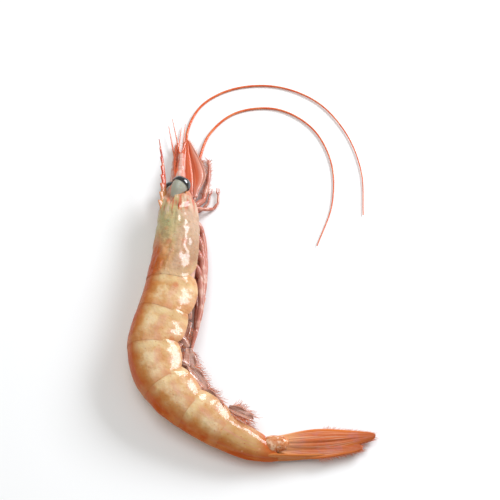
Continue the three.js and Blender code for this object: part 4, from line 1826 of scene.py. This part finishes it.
@dataclass
class Legs:
    """Five pairs of walking legs folded back along the belly, and the leg-like jaws in front of them."""

    spine: Spine
    radius: float = 0.92
    first_slimness: float = 0.62  # thickness of the first pair beside the others
    swell: float = 0.34
    tip_radius: float = 0.14
    finger_radius: float = 0.26
    pincer: float = 2.6
    pincer_gap: float = 0.7
    pincered: int = 3
    bare_tip: float = 1.4  # length of the last article of the other pairs, in pincer lengths
    fan_out: float = 0.28  # how much further from the belly each folded leg lies than the one before it
    left_drop: float = 1.0  # how much further the left legs lie, so that they show
    sides: int = 9
    jaw_hairs: int = 22  # on each side of each article

    ROOTS = (9, 13.5, 18, 23, 28)
    LENGTHS = (21, 26, 33, 25, 27)
    TAPER = (1.1, 0.95, 0.85, 0.72, 0.56, 0.48)
    # Joints from root to wrist: share of the leg's length behind the root, millimetres below the belly,
    # and millimetres from the middle plane. The first pair reaches out and forward, the rest lie back.
    FORWARD = ((0, -3.8, 2.2), (-0.02, -1.2, 2.8), (-0.05, 1.8, 2.9), (-0.1, 5.6, 3.4), (-0.2, 8.4, 3.0),
               (-0.34, 9.6, 2.6))
    FOLDED = ((0, -3.8, 2.2), (0.02, -1.3, 3.0), (0.13, 0.4, 2.9), (0.42, 1.5, 2.6), (0.66, 2.0, 2.4),
              (0.88, 2.1, 2.3))
    # Joints of a jaw: a place on the animal, and clearance over the floor.
    JAW = ((7, -5, 2, 0.8), (4, -8, 2.6, 0.8), (-2.5, -10.4, 2.4, 0.7), (-7.5, -11.8, 2, 0.6),
           (-11.5, -12.2, 1.4, 0.5))
    JAW_RADII = (0.85, 0.75, 0.6, 0.46, 0.22)

    def make(self) -> None:
        """Models and dresses every leg and jaw."""
        for side in Side:
            for number in range(len(self.ROOTS)):
                dress(self._leg(side, number), LEG)
            self._jaw(side)

    def _joint(self, number: int, side: Side, share: float, below: float, out: float) -> Vector:
        """Gives a joint's place, fanned out a little from leg to leg.

        Args:
            number: The pair, from 0 at the front.
            side: The side of the animal.
            share: Place behind the root, as a share of the leg's length.
            below: How far the joint lies below the belly.
            out: How far it lies from the middle plane.

        Returns:
            The joint in metres.
        """
        at = self.ROOTS[number] + share * self.LENGTHS[number]
        fan = self.fan_out * number * max(share, 0.0) + (self.left_drop if side is Side.LEFT else 0.0)
        back = -self.spine.half("depth", at) - below - fan
        return self.spine.place(at, back, side * out - 0.2 * number, 0.8)

    def _leg(self, side: Side, number: int) -> Piece:
        """Models a leg. The first three pairs end in small pincers.

        Args:
            side: The side of the animal.
            number: The pair, from 0 at the front.

        Returns:
            The leg.
        """
        joints = [self._joint(number, side, *place) for place in (self.FOLDED if number else self.FORWARD)]
        root = self.radius * (1 if number else self.first_slimness)
        radii = [root * k for k in self.TAPER]
        title = f"leg_{side.label}_{number + 1}"
        wrist = joints[-1]
        way = (wrist - joints[-2]).normalized()
        if number >= self.pincered:
            joints.append(wrist + way * self.pincer * self.bare_tip * MM)
            return limb(title, joints, [*radii, self.tip_radius], self.sides, self.swell)
        across = way.cross(UP).normalized()
        sizes = (self.finger_radius, self.finger_radius * 1.1, self.tip_radius)
        pieces = [limb(title, joints, radii, self.sides, self.swell)]
        for finger in (-0.5, 0.5):
            tip = wrist + (way * self.pincer + across * finger * self.pincer_gap) * MM
            middle = wrist.lerp(tip, 0.45) + across * finger * 0.5 * MM
            pieces.append(tube(title, [wrist, middle, tip], sizes, 7))
        return joined(title, pieces)

    def _jaw(self, side: Side) -> None:
        """Models the hindmost jaw, which is held forward like a short leg and is fringed with hairs.

        Args:
            side: The side of the animal.
        """
        joints = [self.spine.place(at, back, side * out, over) for at, back, out, over in self.JAW]
        dress(limb(f"jaw_{side.label}", joints, self.JAW_RADII, 10), LEG)
        here = self.spine.station(0)
        roots = []
        for start, end in zip(joints[1:], joints[2:]):
            for k in range(self.jaw_hairs):
                spot = start.lerp(end, (k + 0.5) / self.jaw_hairs)
                roots += [(spot, (here.back * way * 0.9 - here.tail * 0.7).normalized()) for way in (-1, 1)]
        dress(bristles(f"jaw_hairs_{side.label}", roots, 2.0, 0.05), FRINGE)


@dataclass
class Swimmerets:
    """Five pairs of paddles under the tail, swept back: a stout stem with two soft ringed blades."""

    spine: Spine
    pairs: int = 5
    stem: float = 6.8
    blade: float = 11.0
    blade_width: float = 4.6
    sweep: float = math.radians(14)
    root_depth: float = 3.2  # how far a stem reaches into the belly
    root_out: float = 0.4  # how far it stands from the middle plane, as a share of the half width
    shrink: float = 0.07  # how much smaller each pair is than the one before it
    draw_in: float = 0.18  # share of their splay that the blades lose from one pair to the next

    STEM_RADII = (1.1, 1.35, 1.2, 0.75)
    # The two blades of a stem: name, share of the full length, splay, and share of the full width.
    BLADES = (("a", 1.0, 1.1, 1.0), ("b", 0.75, -0.9, 0.85))

    def make(self) -> None:
        """Models and dresses all ten."""
        for side in Side:
            roots = []
            for number in range(self.pairs):
                roots += self._paddle(side, number)
            dress(bristles(f"swimmeret_hairs_{side.label}", roots, 2.1, 0.09), FRINGE)

    def _paddle(self, side: Side, number: int) -> Roots:
        """Models one swimmeret.

        Args:
            side: The side of the animal.
            number: The pair, from 0 at the front.

        Returns:
            The places of its hairs.
        """
        rng = random.Random(f"{side.label}{number}{SEED}")
        at = CARAPACE + sum(SOMITES[:number]) + SOMITES[number] * 0.45
        size = (1 - self.shrink * number) * rng.uniform(0.94, 1.06)
        here = self.spine.station(at)
        bend = self.spine.value("heading", at + self.blade) - self.spine.value("heading", at)
        out = self.root_out * self.spine.half("width", at)
        root = self.spine.place(at, self.root_depth - self.spine.half("depth", at), side * out)

        def reach(start: Vector, angle: float, length: float, splay: float) -> Vector:
            """Gives the point that lies a length away, swept back and splayed.

            Args:
                start: Where the stretch begins in metres.
                angle: How far it is swept back.
                length: Its length before the pair's own size.
                splay: How far it ends to the right.

            Returns:
                The point.
            """
            step = here.tail * math.cos(angle) - here.back * math.sin(angle)
            spot = start + (step * length * size + here.right * splay) * MM
            spot.z = max(spot.z, 0.8 * MM)
            return spot

        sweep = self.sweep + math.radians(rng.uniform(-6, 6) + 0.75 * bend)
        knee = reach(root, sweep + 0.3, self.stem, side * 0.3)
        title = f"swimmeret_{side.label}_{number + 1}"
        stem = tube(f"{title}_stem", [root, root.lerp(knee, 0.3), root.lerp(knee, 0.75), knee],
                    [radius * size for radius in self.STEM_RADII], 12, 1.3)
        dress(smoothed(stem), SWIMMERET)
        roots = []
        for label, length, splay, width in self.BLADES:
            spread = (side * splay + rng.uniform(-0.4, 0.4)) * (1 - self.draw_in * number)
            paddle = Blade(
                root=knee, tip=reach(knee, sweep - 0.35, self.blade * length, spread), side=here.back,
                hand=side, width=self.blade_width * width * size, outline=oval, thickness=0.35, cup=0.8,
                ribs=(Rib(0.0, 0.3, 0.12),), bow=0.7 - 0.2 * number, ripple=0.2, columns=10, rows=26)
            dress(paddle.build(f"{title}_{label}"), SWIMMERET)
            roots += paddle.edge(0.1, 26)
        return roots


# ---------------------------------------------------------------------------- studio


@dataclass
class Studio:
    """A plain pale floor, soft light, and a camera that looks down from the tail side."""

    low: Vector
    high: Vector
    floor_size: float = 3.0
    distance: float = 0.42
    elevation: float = math.radians(60)
    lens: float = 101.0
    even_light: float = 0.45
    daylight: tuple[float, float, float] = (0.9, 0.93, 1.0)

    def make(self) -> None:
        """Adds the floor, lights and camera."""
        self._floor()
        self._world()
        middle = (self.low + self.high) / 2
        self._softbox("overhead", middle + Vector((-0.15, 0.1, 0.8)), middle, 0.6, 0.6, 2.2)
        window = self._softbox("window", middle + Vector((0.35, 0.27, 0.26)), middle, 0.32, 0.19, 3.2)
        window.color = self.daylight
        self._camera(middle)

    def _floor(self) -> None:
        """Adds the floor, a smooth pale board."""
        bpy.ops.object.select_all(action="DESELECT")
        bpy.ops.mesh.primitive_plane_add(size=self.floor_size)
        floor = adopt("floor")
        paint = bpy.data.materials.new("white_lacquered_board")
        tree = emptied(paint)
        shader = add_node(tree, "ShaderNodeBsdfPrincipled", {
            "Base Color": linear("#f4f4f2"), "Roughness": 0.6})
        add_node(tree, "ShaderNodeOutputMaterial", {"Surface": shader})
        floor.data.materials.append(paint)

    def _world(self) -> None:
        """Gives even light from all round."""
        world = bpy.data.worlds.new("studio")
        bpy.context.scene.world = world
        tree = emptied(world)
        glow = add_node(tree, "ShaderNodeBackground", {
            "Color": (1.0, 1.0, 1.0, 1.0), "Strength": self.even_light})
        add_node(tree, "ShaderNodeOutputWorld", {"Surface": glow})

    def _aimed(self, aim: Vector) -> Piece:
        """Turns the object that was just added towards a point, and gives it.

        Args:
            aim: The point in metres.

        Returns:
            The light or camera.
        """
        added = bpy.context.object
        added.rotation_euler = (aim - added.location).to_track_quat("-Z", "Y").to_euler()
        return added

    def _softbox(self, name: str, spot: Vector, aim: Vector, width: float, depth: float,
                 power: float) -> bpy.types.AreaLight:
        """Adds a soft light that shines at a point.

        Args:
            name: Its name.
            spot: Its place in metres.
            aim: The point that it shines at.
            width: Its width in metres.
            depth: Its depth in metres.
            power: Its power in watts.

        Returns:
            The light's settings.
        """
        bpy.ops.object.select_all(action="DESELECT")
        bpy.ops.object.light_add(type="AREA", location=spot)
        lamp = self._aimed(aim)
        lamp.name = name
        lamp.data.shape = "RECTANGLE"
        lamp.data.size = width
        lamp.data.size_y = depth
        lamp.data.energy = power
        return lamp.data

    def _camera(self, aim: Vector) -> None:
        """Adds the camera.

        Args:
            aim: The point that it looks at.
        """
        offset = Vector((0, -math.cos(self.elevation), math.sin(self.elevation))) * self.distance
        bpy.ops.object.camera_add(location=aim + offset)
        camera = self._aimed(aim)
        camera.data.lens = self.lens
        bpy.context.scene.camera = camera


def main() -> None:
    """Builds the shrimp piece by piece, logging each piece's faces, and lights it."""
    logging.basicConfig(level=logging.INFO, format="%(name)s: %(message)s")
    low, high = CAD_BOX
    spine = Spine(Vector((low.x + EYE_FROM_BACK * MM, high.y - EYE_FROM_FRONT * MM, 0)))
    for kind in (HeadShell, Abdomen, TailFan, Eyes, Feelers, Legs, Swimmerets):
        LOG.info("making the %s", kind.__name__)
        kind(spine).make()
    Studio(low, high).make()
    bpy.context.scene.view_settings.view_transform = "Standard"


if __name__ == "__main__":
    main()
